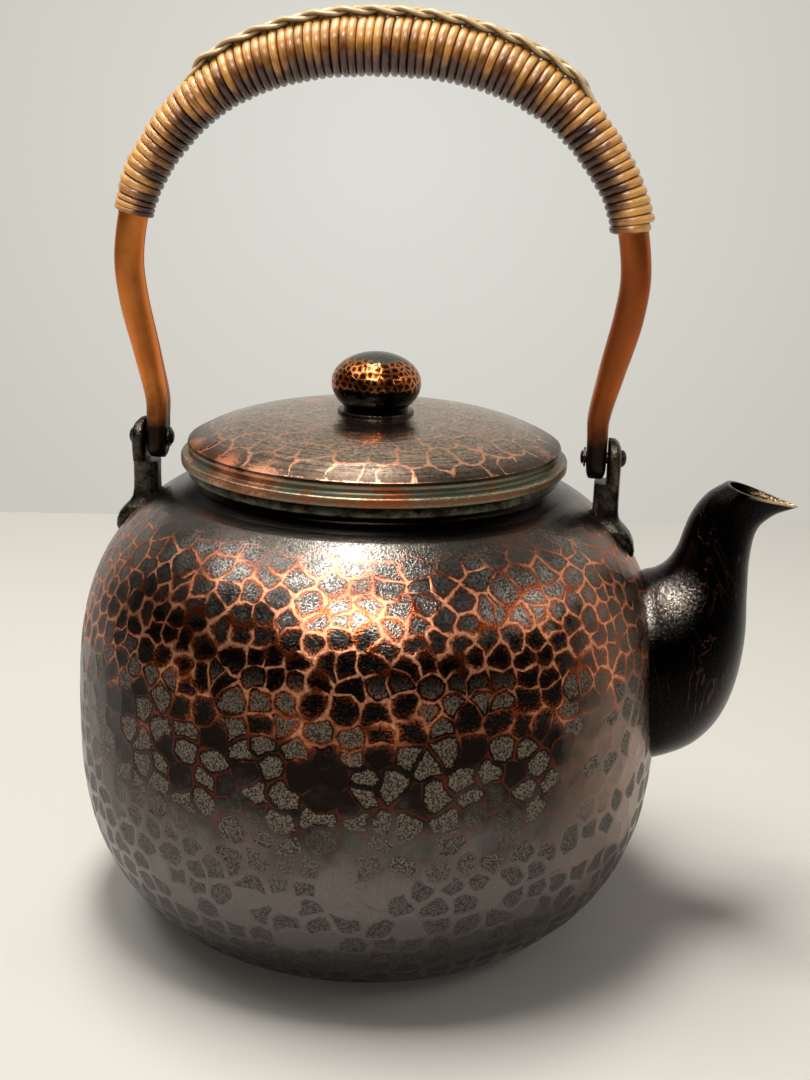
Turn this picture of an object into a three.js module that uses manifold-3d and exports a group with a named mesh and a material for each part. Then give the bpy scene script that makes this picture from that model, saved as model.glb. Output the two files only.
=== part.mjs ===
// Hammered copper kettle: a lift-off domed lid, a brazed spout and a swinging bail wound with rattan.
// Millimetres, +Z up, the spout towards +X. The origin is the middle of the flat base.
import * as THREE from 'three';
import { mergeVertices } from 'three/addons/utils/BufferGeometryUtils.js';
import Module from 'manifold-3d';

const wasm = await Module();
wasm.setup();

// Vessel: two superellipse halves that meet at the belly, then a fillet into a short neck
const bodyRadius = 95;
const bellyHeight = 69.6;
const lowerFullness = 2.7;
const upperFullness = 2.89;
const baseRadius = 58;
const baseCornerReach = 5.7;
const baseEdgeRise = 3;
const bodyWall = 1.6;
const neckRadius = 57.5;
const shoulderReach = 7.4;
const shoulderHeight = 141.7;
const shoulderFilletRise = 3.1;
const neckFilletRise = 2.4;
const neckStraight = 3.4;

// Clearances and cutting
const seatGap = 0.3;
const cutOverrun = 6;

// Rolled ring round the mouth
const ringThickness = 1.7;
const ringHeight = 3.3;

// Lid: dome, cove, rim and the collar that drops into the neck
const lidRimOverhang = 4.2;
const lidRimHeight = 3.1;
const lidRimChamfer = 0.7;
const lidShoulderInset = 2.3;
const lidShoulderRise = 7.1;
const domeRise = 9;
const domeFullness = 4;
const domeFlatMargin = 0.8;
const coveDepth = 1.3;
const lidWall = 1.5;
const collarClearance = 0.5;
const collarWall = 1.2;
const collarDepth = 11;
const steamSlotLength = 3.4;
const steamSlotWidth = 1.2;
const steamSlotInset = 4.4;
const steamSlotAngle = THREE.MathUtils.degToRad(212.5);

// Knob, its seat and the stud that holds it
const knobRadius = 14.3;
const knobTopDepth = 9.7;
const knobLowerDepth = 10.6;
const knobNeckRadius = 10.3;
const knobNeckHeight = 1.2;
const knobSeatRadius = 12.2;
const knobSeatHeight = 1;
const knobStudRadius = 2;
const knobStudReach = 9;
const knobStudHeadRadius = 3.6;
const knobStudHeadHeight = 1.4;
const knobWasherRadius = 6.5;
const knobWasherHeight = 0.9;

// Spout: its overhang past the belly, its foot below the belly line and its crest above the shoulder
const spoutOverhang = 40.2;
const spoutFootDrop = 12.3;
const spoutCrestRise = 7.4;
const spoutRootHalfWidth = 26;
const spoutWall = 1.5;
const spoutHoleMargin = 9;
const spoutHoleHalfHeight = 21;
const spoutHoleRise = 32.7;

// Bail: a tapered copper tube, pinched flat at both pivots
const pivotRise = 13.9;
const pivotStandOff = 9;
const bailFlare = 8.7;
const bailRise = 123.6;
const tongueEndRadius = 6.8;
const tongueHalfThickness = 3.2;
const tongueHalfWidth = 6;
const pinchLength = 46;
const legHalfThickness = 4.7;
const crownHalfThickness = 6.4;
const bailWall = 1;

// Ears that carry the bail
const cheekThickness = 4.4;
const postThickness = 8.2;
const lapGap = 0.8;
const earHeadRadius = 6.5;
const earWaistHalfWidth = 4.3;
const earFootHalfWidth = 6.6;
const earFootReach = 6;
const earFootThickness = 2.6;
const tenonRadius = 2.4;
const tenonHeadRadius = 3.8;
const tenonHeadHeight = 1;
const tenonWasherRadius = 4.6;
const tenonWasherHeight = 1;

// Rivets that the bail swings on
const rivetRadius = 1.8;
const rivetHeadRadius = 2.7;
const rivetHeadHeight = 1.3;
const rivetInnerHeadHeight = 0.8;
const rivetWasherRadius = 3.1;
const rivetWasherHeight = 0.4;

// Rattan winding, its end binding and the braid along the top
const strandWidth = 1.9;
const strandThickness = 2.1;
const wrapPitch = 2.62;
const wrapStartShare = 0.2175;
const bindingTurns = 3;
const bindingPitch = 1.65;
const bindingStrandWidth = 1.15;
const braidHalfWidth = 4;
const braidHalfThickness = 1.25;
const braidStartShare = 0.332;
const braidEndShare = 0.68;

// Sides of the vessel, whose corners meet the washers of the ears
const bodySides = 44;
const tenonSeatDrop = tenonWasherRadius * Math.tan(Math.PI / bodySides) + seatGap;

// Heights and radii that follow from the sizes above
const baseCornerRadius = baseRadius + baseCornerReach;
const shoulderRadius = neckRadius + shoulderReach;
const lowerDepth = quarterDepth(bellyHeight, baseCornerRadius, lowerFullness);
const upperDepth = quarterDepth(shoulderHeight - bellyHeight, shoulderRadius, upperFullness);
const neckFootHeight = shoulderHeight + shoulderFilletRise;
const neckFilletTop = neckFootHeight + neckFilletRise;
const neckTop = neckFilletTop + neckStraight;
const lidRimRadius = neckRadius + lidRimOverhang;
const lidShoulderRadius = lidRimRadius - lidShoulderInset;
const domeFlatRadius = knobSeatRadius + domeFlatMargin;
const spoutFootHeight = bellyHeight - spoutFootDrop;
const spoutClimb = shoulderHeight + spoutCrestRise - spoutFootHeight;
const pivotSpread = lidRimRadius + pivotStandOff;
const pivotHeight = shoulderHeight + pivotRise;
const earSeatRadius = pivotSpread + tongueHalfThickness + seatGap;
const earLandRadii = [earSeatRadius + tenonWasherRadius / 2, earSeatRadius - tenonWasherRadius / 2];
const earLandHeights = earLandRadii.map(shoulderHeightAt);
const earSeatHeight = (earLandHeights[0] + earLandHeights[1]) / 2;
const bailHalfSpan = pivotSpread + bailFlare;

// Facet counts
const wallRings = 9;
const filletRings = 2;
const lidSides = 36;
const knobSides = 24;
const smallSides = 12;
const spoutSides = 18;
const spoutRings = 18;
const tubeSides = 12;
const tubeRings = 46;
const turnSteps = 8;
const braidRings = 22;
const curveSteps = 4;

// Finishes
const paleCopper = 0xc46a3a;
const patina = new THREE.MeshStandardMaterial({ color: 0x2b1a14, roughness: 0.38, metalness: 1 });
const lidPatina = new THREE.MeshStandardMaterial({ color: 0x3d2a22, roughness: 0.42, metalness: 1 });
const rimBronze = new THREE.MeshStandardMaterial({ color: 0x4c4438, roughness: 0.45, metalness: 1 });
const earBronze = new THREE.MeshStandardMaterial({ color: 0x39332e, roughness: 0.42, metalness: 1 });
const bailCopper = new THREE.MeshStandardMaterial({ color: 0x9a4a22, roughness: 0.35, metalness: 1 });
const brightCopper = new THREE.MeshStandardMaterial({ color: paleCopper, roughness: 0.4, metalness: 1 });
const rattan = new THREE.MeshStandardMaterial({ color: 0x9c6b33, roughness: 0.5, metalness: 0 });
const paleRattan = new THREE.MeshStandardMaterial({ color: 0xb98b4e, roughness: 0.55, metalness: 0 });

// Every closed surface is merged, freed of collapsed faces at its poles and turned to face outwards.
function closedMesh(geometry) {
  const bare = new THREE.BufferGeometry();
  bare.setAttribute('position', geometry.getAttribute('position'));
  bare.setIndex(geometry.getIndex());
  const merged = mergeVertices(bare);
  const position = merged.getAttribute('position').array;
  const index = merged.getIndex().array;
  const faces = [];
  let volume = 0;
  const a = new THREE.Vector3();
  const b = new THREE.Vector3();
  const c = new THREE.Vector3();
  for (let i = 0; i < index.length; i += 3) {
    const [p, q, r] = [index[i], index[i + 1], index[i + 2]];
    if (p === q || q === r || r === p) continue;
    faces.push([p, q, r]);
    a.fromArray(position, 3 * p);
    b.fromArray(position, 3 * q);
    c.fromArray(position, 3 * r);
    volume += a.dot(b.cross(c));
  }
  const turned = volume < 0 ? faces.map(([p, q, r]) => [p, r, q]) : faces;
  merged.setIndex(turned.flat());
  return merged;
}

function toSolid(geometry) {
  const closed = closedMesh(geometry);
  const vertProperties = new Float32Array(closed.getAttribute('position').array);
  const triVerts = new Uint32Array(closed.getIndex().array);
  return new wasm.Manifold(new wasm.Mesh({ numProp: 3, vertProperties, triVerts }));
}

function toGeometry(solid) {
  const mesh = solid.getMesh();
  const geometry = new THREE.BufferGeometry();
  geometry.setAttribute('position', new THREE.BufferAttribute(mesh.vertProperties, 3));
  geometry.setIndex(new THREE.BufferAttribute(mesh.triVerts, 1));
  return geometry;
}

function namedMesh(name, geometry, material) {
  geometry.computeVertexNormals();
  const mesh = new THREE.Mesh(geometry, material);
  mesh.name = name;
  return mesh;
}

// Outlines are pairs of radius and height, spun about +Z.
function spun(outline, sides) {
  const points = outline.map(([radius, height]) => new THREE.Vector2(Math.max(radius, 0), height));
  return new THREE.LatheGeometry(points, sides).rotateX(Math.PI / 2);
}

function cylinder(radius, length, sides = smallSides) {
  return new THREE.CylinderGeometry(radius, radius, length, sides).rotateX(Math.PI / 2);
}

function plate(shape, depth) {
  return new THREE.ExtrudeGeometry(shape, { depth, bevelEnabled: false, curveSegments: curveSteps });
}

// Points along a quadratic curve between two outline points, the first one left out
function bend(start, corner, end, steps) {
  const curve = new THREE.QuadraticBezierCurve(
    new THREE.Vector2(...start), new THREE.Vector2(...corner), new THREE.Vector2(...end));
  return curve.getPoints(steps).slice(1).map((point) => [point.x, point.y]);
}

// An outline moved sideways by a distance, to the left of its direction
function offsetOutline(outline, distance) {
  return outline.map(([radius, height], i) => {
    const before = outline[Math.max(i - 1, 0)];
    const after = outline[Math.min(i + 1, outline.length - 1)];
    const run = new THREE.Vector2(after[0] - before[0], after[1] - before[1]).normalize();
    return [radius - run.y * distance, height + run.x * distance];
  });
}

// Rings of points are joined into one skin. A closed loft runs back to its first ring, an open one
// gets a flat cap at each end.
function loft(rings, closed) {
  const sides = rings[0].length;
  const positions = rings.flat().flatMap((point) => [point.x, point.y, point.z]);
  const index = [];
  const last = closed ? rings.length : rings.length - 1;
  for (let i = 0; i < last; i += 1) {
    const here = i * sides;
    const next = ((i + 1) % rings.length) * sides;
    for (let j = 0; j < sides; j += 1) {
      const k = (j + 1) % sides;
      index.push(here + j, next + j, here + k, here + k, next + j, next + k);
    }
  }
  if (!closed) {
    const end = (rings.length - 1) * sides;
    for (let j = 1; j < sides - 1; j += 1) {
      index.push(0, j, j + 1);
      index.push(end, end + j + 1, end + j);
    }
  }
  const geometry = new THREE.BufferGeometry();
  geometry.setAttribute('position', new THREE.Float32BufferAttribute(positions, 3));
  geometry.setIndex(index);
  return geometry;
}

// Depth of a superellipse quarter that narrows from the belly to a radius over a rise
function quarterDepth(rise, radius, fullness) {
  return rise / (1 - (radius / bodyRadius) ** fullness) ** (1 / fullness);
}

// Radius of the vessel's outside at a height below its neck fillet
function vesselRadius(height) {
  const rise = height - bellyHeight;
  const depth = rise > 0 ? upperDepth : lowerDepth;
  const fullness = rise > 0 ? upperFullness : lowerFullness;
  return bodyRadius * (1 - Math.abs(rise / depth) ** fullness) ** (1 / fullness);
}

// Height at which the shoulder has a radius
function shoulderHeightAt(radius) {
  return bellyHeight + upperDepth * (1 - (radius / bodyRadius) ** upperFullness) ** (1 / upperFullness);
}

// The outline runs straight between two rings where the washers of the ears lie against it.
function vesselOutline(wallSteps, filletSteps) {
  const outline = [[baseRadius, 0]];
  const edge = [vesselRadius(baseEdgeRise), baseEdgeRise];
  outline.push(...bend([baseRadius, 0], [baseCornerRadius, 0], edge, 2));
  const middle = (baseEdgeRise + earLandHeights[0]) / 2;
  for (let i = 1; i < wallSteps; i += 1) {
    const height = middle - (middle - baseEdgeRise) * Math.cos(Math.PI * i / wallSteps);
    outline.push([vesselRadius(height), height]);
  }
  outline.push(...earLandRadii.map((radius, i) => [radius, earLandHeights[i]]));
  const shoulder = [shoulderRadius, shoulderHeight];
  outline.push(shoulder);
  outline.push(...bend(shoulder, [neckRadius, neckFootHeight], [neckRadius, neckFilletTop], filletSteps));
  return outline;
}

// The vessel's outside as a solid, grown by a gap: what rests on the vessel is cut by it
function grownVessel(gap) {
  const outline = offsetOutline(vesselOutline(wallRings, filletRings), -gap);
  const first = outline[0];
  return toSolid(spun([[0, first[1]], ...outline, [0, neckFilletTop]], bodySides));
}

// The slanted frame of the vessel's surface on the side of the bail's pivots
function shoulderFrame(side) {
  const slope = (earLandRadii[1] - earLandRadii[0]) / (earLandHeights[1] - earLandHeights[0]);
  const normal = new THREE.Vector3(side, 0, -slope).normalize();
  const turn = new THREE.Quaternion().setFromUnitVectors(new THREE.Vector3(0, 0, 1), normal);
  const place = new THREE.Vector3(side * earSeatRadius, 0, earSeatHeight);
  return new THREE.Matrix4().compose(place, turn, new THREE.Vector3(1, 1, 1));
}

function kettleBody() {
  const outer = vesselOutline(wallRings, filletRings);
  const inner = offsetOutline(outer, bodyWall).slice(1);
  inner.unshift([baseRadius, bodyWall]);
  const mouth = [[neckRadius, neckTop], [neckRadius - bodyWall, neckTop]];
  const outline = [[0, 0], ...outer, ...mouth, ...inner.reverse(), [0, bodyWall]];
  let shell = toSolid(spun(outline, bodySides));
  const holeHalfWidth = spoutRootHalfWidth - spoutHoleMargin;
  const hole = cylinder(holeHalfWidth, bodyRadius, spoutSides);
  hole.scale(1, spoutHoleHalfHeight / holeHalfWidth, 1);
  hole.rotateY(Math.PI / 2).rotateX(Math.PI / 2);
  hole.translate(bodyRadius, 0, spoutFootHeight + spoutHoleRise);
  shell = shell.subtract(toSolid(hole));
  for (const side of [-1, 1]) {
    const bore = cylinder(tenonRadius + seatGap, cutOverrun + cutOverrun);
    shell = shell.subtract(toSolid(bore.applyMatrix4(shoulderFrame(side))));
  }
  return toGeometry(shell);
}

function mouthRing() {
  const inside = neckRadius + seatGap;
  const outside = inside + ringThickness;
  const foot = neckTop - ringHeight;
  const round = ringHeight / 4;
  const outline = [[inside, foot], ...bend([inside, foot], [outside, foot], [outside, foot + round], 2)];
  outline.push(...bend([outside, neckTop - round], [outside, neckTop], [outside - round, neckTop], 2));
  outline.splice(3, 0, [outside, neckTop - round]);
  outline.push([inside, neckTop], [inside, foot]);
  return closedMesh(spun(outline, lidSides));
}

// Stations of the spout as shares: the breast and the throat line across and up, the half-width of the
// section, and how far its front is drawn in to a beak
const spoutStationShares = [
  [-0.32, -0.03, -0.47, 0.62, 1, 0],
  [0.06, 0, -0.2, 0.66, 1, 0],
  [0.35, 0.065, -0.085, 0.681, 0.885, 0],
  [0.527, 0.165, -0.03, 0.697, 0.77, 0],
  [0.627, 0.295, 0.012, 0.716, 0.665, 0],
  [0.669, 0.455, 0.05, 0.741, 0.56, 0],
  [0.655, 0.617, 0.09, 0.781, 0.465, 0],
  [0.652, 0.747, 0.129, 0.841, 0.415, 0.05],
  [0.685, 0.838, 0.189, 0.906, 0.4, 0.25],
  [0.796, 0.893, 0.289, 0.964, 0.41, 0.55],
  [1, 0.931, 0.423, 1.003, 0.44, 0.88],
];

function spoutPoint(across, up) {
  return new THREE.Vector3(bodyRadius + spoutOverhang * across, 0, spoutFootHeight + spoutClimb * up);
}

function spoutSection(station, wall) {
  const [breastX, breastZ, throatX, throatZ, width, beak] = station;
  const breast = spoutPoint(breastX, breastZ);
  const throat = spoutPoint(throatX, throatZ);
  const middle = breast.clone().add(throat).multiplyScalar(0.5);
  const half = breast.clone().sub(throat).multiplyScalar(0.5);
  const along = half.length() - wall;
  half.normalize();
  const ring = [];
  for (let j = 0; j < spoutSides; j += 1) {
    const angle = 2 * Math.PI * j / spoutSides;
    const drawn = 1 - beak * (1 + Math.cos(angle)) / 2;
    const point = middle.clone().addScaledVector(half, along * Math.cos(angle));
    point.y = (spoutRootHalfWidth * width - wall) * Math.sin(angle) * drawn;
    ring.push(point);
  }
  return ring;
}

// Stations between the chosen ones, by a smooth curve through each of their shares
function spoutStations(steps) {
  const shapes = [];
  for (const first of [0, 3]) {
    const points = spoutStationShares.map((row) => new THREE.Vector3(...row.slice(first, first + 3)));
    shapes.push(new THREE.CatmullRomCurve3(points));
  }
  const stations = [];
  for (let i = 0; i <= steps; i += 1) {
    stations.push(shapes.flatMap((curve) => curve.getPoint(i / steps).toArray()));
  }
  return stations;
}

function spout() {
  const stations = spoutStations(spoutRings);
  const outer = stations.map((station) => spoutSection(station, 0));
  const inner = stations.map((station) => spoutSection(station, spoutWall)).reverse();
  return toGeometry(toSolid(loft([...outer, ...inner], true)).subtract(grownVessel(seatGap)));
}

// Side outline of an ear, out from the kettle's axis and up, as one lapped post on a leaf-shaped foot
function earSideShape() {
  const cheekInner = earSeatRadius;
  const cheekOuter = cheekInner + cheekThickness;
  const postInner = cheekOuter - postThickness;
  const lapFloor = pivotHeight - tongueEndRadius - lapGap;
  const top = pivotHeight + earHeadRadius;
  const tip = cheekOuter + earFootReach;
  const kneeHeight = earSeatHeight;
  const shape = new THREE.Shape();
  shape.moveTo(postInner, kneeHeight - earFootReach);
  shape.lineTo(postInner, lapFloor);
  shape.lineTo(cheekInner, lapFloor);
  shape.lineTo(cheekInner, top);
  shape.quadraticCurveTo(cheekOuter, top, cheekOuter, pivotHeight + rivetHeadRadius);
  shape.lineTo(cheekOuter, lapFloor);
  shape.lineTo(cheekOuter - seatGap, kneeHeight);
  shape.quadraticCurveTo(cheekOuter + earFootThickness, kneeHeight, tip, kneeHeight - earFootReach);
  shape.lineTo(tip - earFootThickness / 2, kneeHeight - earFootReach - 2 * earFootThickness);
  shape.lineTo(postInner, kneeHeight - earFootReach - 2 * earFootThickness);
  return shape;
}

// Front outline of an ear, across and up
function earFrontShape() {
  const lapFloor = pivotHeight - tongueEndRadius - lapGap;
  const foot = earSeatHeight - earFootReach;
  const shape = new THREE.Shape();
  shape.moveTo(earHeadRadius, pivotHeight);
  shape.absarc(0, pivotHeight, earHeadRadius, 0, Math.PI, false);
  for (const side of [-1, 1]) {
    const waist = [side * earWaistHalfWidth, lapFloor - lapGap];
    const knee = [side * earWaistHalfWidth, foot + earFootReach];
    const flare = [side * earFootHalfWidth, foot + earFootThickness];
    const tip = [side * earFootHalfWidth / 2, foot - earFootReach];
    const corner = [side * earFootHalfWidth, foot - earFootThickness];
    if (side < 0) {
      shape.quadraticCurveTo(side * earHeadRadius, lapFloor, ...waist);
      shape.lineTo(...knee);
      shape.quadraticCurveTo(side * earWaistHalfWidth, foot + earFootThickness, ...flare);
      shape.quadraticCurveTo(...corner, ...tip);
    } else {
      shape.lineTo(...tip);
      shape.quadraticCurveTo(...corner, ...flare);
      shape.quadraticCurveTo(side * earWaistHalfWidth, foot + earFootThickness, ...knee);
      shape.lineTo(...waist);
      shape.quadraticCurveTo(side * earHeadRadius, lapFloor, earHeadRadius, pivotHeight);
    }
  }
  return shape;
}

function tenonSeat() {
  return bodyWall + tenonSeatDrop + tenonWasherHeight + seatGap;
}

// An ear is what its side outline and its front outline have in common.
function ear(side) {
  const width = 4 * earFootHalfWidth;
  const profile = plate(earSideShape(), width);
  profile.translate(0, 0, -width / 2).rotateX(Math.PI / 2);
  const front = plate(earFrontShape(), width);
  front.rotateX(Math.PI / 2).rotateZ(Math.PI / 2).translate(pivotSpread - tongueHalfWidth, 0, 0);
  let solid = toSolid(profile).intersect(toSolid(front));
  const bore = cylinder(rivetRadius + seatGap, pivotSpread, smallSides);
  solid = solid.subtract(toSolid(bore.rotateY(Math.PI / 2).translate(pivotSpread, 0, pivotHeight)));
  solid = solid.subtract(grownVessel(seatGap));
  const head = tenonSeat();
  const tenon = spun([
    [0, earFootThickness], [tenonRadius, earFootThickness], [tenonRadius, -head], [tenonHeadRadius, -head],
    [tenonRadius, -head - tenonHeadHeight], [0, -head - tenonHeadHeight],
  ], smallSides);
  solid = solid.add(toSolid(tenon.applyMatrix4(shoulderFrame(1))));
  const geometry = toGeometry(solid);
  return side > 0 ? geometry : geometry.rotateZ(Math.PI);
}

function tenonWasher(side) {
  const top = -bodyWall - tenonSeatDrop;
  const washer = ringOutline(tenonRadius + seatGap, tenonWasherRadius, top - tenonWasherHeight, top);
  return closedMesh(spun(washer, smallSides)).applyMatrix4(shoulderFrame(side));
}

// A flat ring's closed outline between two radii and two heights
function ringOutline(inside, outside, foot, top) {
  return [[inside, foot], [outside, foot], [outside, top], [inside, top], [inside, foot]];
}

// The dome falls away with the fourth power of the radius, round a flat in the middle for the knob.
function domeHeight(radius) {
  const flat = domeFlatRadius ** domeFullness;
  const fall = Math.max(radius ** domeFullness - flat, 0) / (lidShoulderRadius ** domeFullness - flat);
  return lidSeatHeight() + lidShoulderRise + domeRise * (1 - fall);
}

function lidSeatHeight() {
  return neckTop + seatGap;
}

function lidBoreRadius() {
  return knobStudRadius + seatGap;
}

const domeShares = [0, 0.28, 0.5, 0.7, 0.86, 1];
const domeInsideShares = [1, 0.82, 0.5, 0];

function lidPlate() {
  const seat = lidSeatHeight();
  const rimTop = seat + lidRimHeight;
  const rimInside = neckRadius - bodyWall - collarClearance + seatGap;
  const outer = [];
  for (const share of domeShares) {
    const radius = domeFlatRadius + (lidShoulderRadius - domeFlatRadius) * share;
    outer.push([radius, domeHeight(radius)]);
  }
  const shoulder = outer[outer.length - 1];
  const cove = [shoulder[0] - coveDepth / 2, rimTop + coveDepth];
  const crest = [lidRimRadius - lidRimChamfer, rimTop];
  outer.push(...bend(shoulder, [shoulder[0] + coveDepth / 2, shoulder[1] - coveDepth], cove, 3));
  outer.push(...bend(cove, [cove[0], rimTop], crest, 3));
  outer.push([lidRimRadius, rimTop - lidRimChamfer], [lidRimRadius, seat + lidRimChamfer]);
  outer.push([lidRimRadius - lidRimChamfer, seat], [rimInside, seat], [rimInside, rimTop - coveDepth]);
  for (const share of domeInsideShares) {
    const radius = domeFlatRadius + (rimInside - lidWall - domeFlatRadius) * share;
    outer.push([radius, domeHeight(radius) - lidWall]);
  }
  const bore = lidBoreRadius();
  const outline = [[bore, domeHeight(0)], ...outer, [bore, domeHeight(0) - lidWall], [bore, domeHeight(0)]];
  const slotShape = new THREE.Shape();
  const halfRun = (steamSlotLength - steamSlotWidth) / 2;
  slotShape.absarc(halfRun, 0, steamSlotWidth / 2, -Math.PI / 2, Math.PI / 2, false);
  slotShape.absarc(-halfRun, 0, steamSlotWidth / 2, Math.PI / 2, 3 * Math.PI / 2, false);
  const slot = plate(slotShape, lidRimRadius);
  slot.translate(lidShoulderRadius - steamSlotInset, 0, seat + lidRimHeight).rotateZ(steamSlotAngle);
  return toGeometry(toSolid(spun(outline, lidSides)).subtract(toSolid(slot)));
}

function lidCollar() {
  const outside = neckRadius - bodyWall - collarClearance;
  const top = lidSeatHeight() + lidRimHeight - coveDepth;
  const foot = lidSeatHeight() - collarDepth;
  return closedMesh(spun(ringOutline(outside - collarWall, outside, foot, top), lidSides));
}

function knobSeat() {
  const foot = domeHeight(0);
  const top = foot + knobSeatHeight;
  const edge = knobSeatHeight / 3;
  const bore = lidBoreRadius();
  return closedMesh(spun([
    [bore, foot], [knobSeatRadius, foot], [knobSeatRadius, top - edge], [knobSeatRadius - edge, top],
    [bore, top], [bore, foot],
  ], knobSides));
}

// Quarter turns up the knob's outline from its widest place
const knobTurnShares = [-0.33, -0.2, -0.07, 0.07, 0.2, 0.34, 0.5, 0.68, 0.86];

function lidKnob() {
  const foot = domeHeight(0) + knobSeatHeight;
  const middle = foot + knobNeckHeight + knobLowerDepth * Math.sqrt(1 - (knobNeckRadius / knobRadius) ** 2);
  const outline = [[lidBoreRadius(), foot], [knobNeckRadius, foot], [knobNeckRadius, foot + knobNeckHeight]];
  for (const turnShare of knobTurnShares) {
    const angle = turnShare * Math.PI / 2;
    const depth = angle < 0 ? knobLowerDepth : knobTopDepth;
    outline.push([knobRadius * Math.cos(angle), middle + depth * Math.sin(angle)]);
  }
  outline.push([0, middle + knobTopDepth]);
  const blind = foot + knobStudReach + seatGap;
  outline.push([0, blind], [lidBoreRadius(), blind], [lidBoreRadius(), foot]);
  return closedMesh(spun(outline, knobSides));
}

function knobWasher() {
  const top = domeHeight(0) - lidWall;
  const outline = ringOutline(lidBoreRadius(), knobWasherRadius, top - knobWasherHeight, top);
  return closedMesh(spun(outline, smallSides));
}

function knobStud() {
  const seat = domeHeight(0) - lidWall - knobWasherHeight;
  const tip = domeHeight(0) + knobSeatHeight + knobStudReach;
  return closedMesh(spun([
    [0, seat - knobStudHeadHeight], [knobStudHeadRadius / 2, seat - knobStudHeadHeight],
    [knobStudHeadRadius, seat - knobStudHeadHeight / 2], [knobStudHeadRadius, seat],
    [knobStudRadius, seat], [knobStudRadius, tip], [0, tip],
  ], smallSides));
}

// The bail's middle line: its legs as shares of the flare and the rise, its arch as shares of the
// half-span and the rise
const bailLegShares = [[0, 0.1], [0.36, 0.217], [0.86, 0.365], [1, 0.472]];
const bailArchShares = [[0.956, 0.631], [0.883, 0.727], [0.742, 0.841], [0.533, 0.932], [0.266, 0.986]];

// Each tongue runs straight through its pivot before the line bends up to the crown.
function bailLine() {
  const half = [-tongueEndRadius, 0, tongueEndRadius].map((rise) => [pivotSpread, pivotHeight + rise]);
  const point = (x, up) => [x, pivotHeight + bailRise * up];
  half.push(...bailLegShares.map(([out, up]) => point(pivotSpread + bailFlare * out, up)));
  half.push(...bailArchShares.map(([out, up]) => point(bailHalfSpan * out, up)));
  const left = half.map(([x, z]) => new THREE.Vector3(-x, 0, z));
  const right = half.map(([x, z]) => new THREE.Vector3(x, 0, z)).reverse();
  const crown = new THREE.Vector3(0, 0, pivotHeight + bailRise);
  const curve = new THREE.CatmullRomCurve3([...left, crown, ...right]);
  curve.arcLengthDivisions = 1200;
  return curve;
}

const bailCurve = bailLine();
const bailLength = bailCurve.getLength();

function easeIn(value) {
  const t = THREE.MathUtils.clamp(value, 0, 1);
  return t * t * (3 - 2 * t);
}

// Half-sizes of the tube at a distance along it: in the plane of the bail, and across it
function bailHalfSizes(distance) {
  const fromPivot = Math.min(distance, bailLength - distance) - tongueEndRadius;
  const start = wrapStartShare * bailLength;
  const swell = easeIn((fromPivot - start) / (bailLength / 2 - start));
  const round = legHalfThickness + (crownHalfThickness - legHalfThickness) * swell;
  const open = easeIn(fromPivot / pinchLength);
  let inPlane = THREE.MathUtils.lerp(tongueHalfThickness, round, open);
  let across = THREE.MathUtils.lerp(tongueHalfWidth, round, open);
  if (fromPivot < 0) {
    const depthShare = -fromPivot / tongueEndRadius;
    across = Math.min(tongueHalfWidth, tongueEndRadius * Math.sqrt(1 - depthShare ** 2));
    inPlane *= 1 - depthShare ** 4 / 3;
  }
  return [inPlane, across];
}

// A point beside the bail's middle line: out in its plane, and across it
function besideBail(distance, out, across) {
  const share = THREE.MathUtils.clamp(distance / bailLength, 0, 1);
  const point = bailCurve.getPointAt(share);
  const run = bailCurve.getTangentAt(share);
  point.x -= run.z * out;
  point.z += run.x * out;
  point.y += across;
  return point;
}

function tubeRing(distance, wall, sides) {
  const [inPlane, across] = bailHalfSizes(distance);
  const ring = [];
  for (let j = 0; j < sides; j += 1) {
    const angle = 2 * Math.PI * j / sides;
    ring.push(besideBail(distance, (inPlane - wall) * Math.cos(angle), (across - wall) * Math.sin(angle)));
  }
  return ring;
}

// Rings on a tongue's round end, as shares of its radius beyond the pivot
const tongueTipShares = [0.97, 0.85, 0.55];

function bailTube() {
  const tips = tongueTipShares.map((share) => tongueEndRadius * (1 - share));
  const distances = [...tips];
  const free = bailLength - 2 * tongueEndRadius;
  for (let i = 0; i <= tubeRings; i += 1) distances.push(tongueEndRadius + free * i / tubeRings);
  distances.push(...tips.map((tip) => bailLength - tip).reverse());
  const outer = loft(distances.map((distance) => tubeRing(distance, 0, tubeSides)), false);
  const bore = [];
  for (let i = 0; i <= tubeRings; i += 2) {
    bore.push(tubeRing(tongueEndRadius + free * i / tubeRings, bailWall, turnSteps));
  }
  let tube = toSolid(outer).subtract(toSolid(loft(bore, false)));
  for (const side of [-1, 1]) {
    const hole = cylinder(rivetRadius + seatGap, pivotSpread / 2);
    tube = tube.subtract(toSolid(hole.rotateY(Math.PI / 2).translate(side * pivotSpread, 0, pivotHeight)));
  }
  return toGeometry(tube);
}

function hingeRivet(side) {
  const headSeat = pivotSpread + tongueHalfThickness + seatGap + cheekThickness + seatGap;
  const innerSeat = pivotSpread - tongueHalfThickness - seatGap - rivetWasherHeight - seatGap;
  const outline = [
    [0, innerSeat - rivetInnerHeadHeight], [rivetHeadRadius / 2, innerSeat - rivetInnerHeadHeight],
    [rivetHeadRadius - seatGap, innerSeat - rivetInnerHeadHeight / 3], [rivetHeadRadius - seatGap, innerSeat],
    [rivetRadius, innerSeat], [rivetRadius, headSeat], [rivetHeadRadius, headSeat],
    [rivetHeadRadius, headSeat + rivetHeadHeight / 4],
  ];
  outline.push(...bend([rivetHeadRadius, headSeat + rivetHeadHeight / 4],
    [rivetHeadRadius, headSeat + rivetHeadHeight], [0, headSeat + rivetHeadHeight], 4));
  const rivet = closedMesh(spun(outline, smallSides)).rotateY(Math.PI / 2);
  return (side > 0 ? rivet : rivet.rotateZ(Math.PI)).translate(0, 0, pivotHeight);
}

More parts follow.
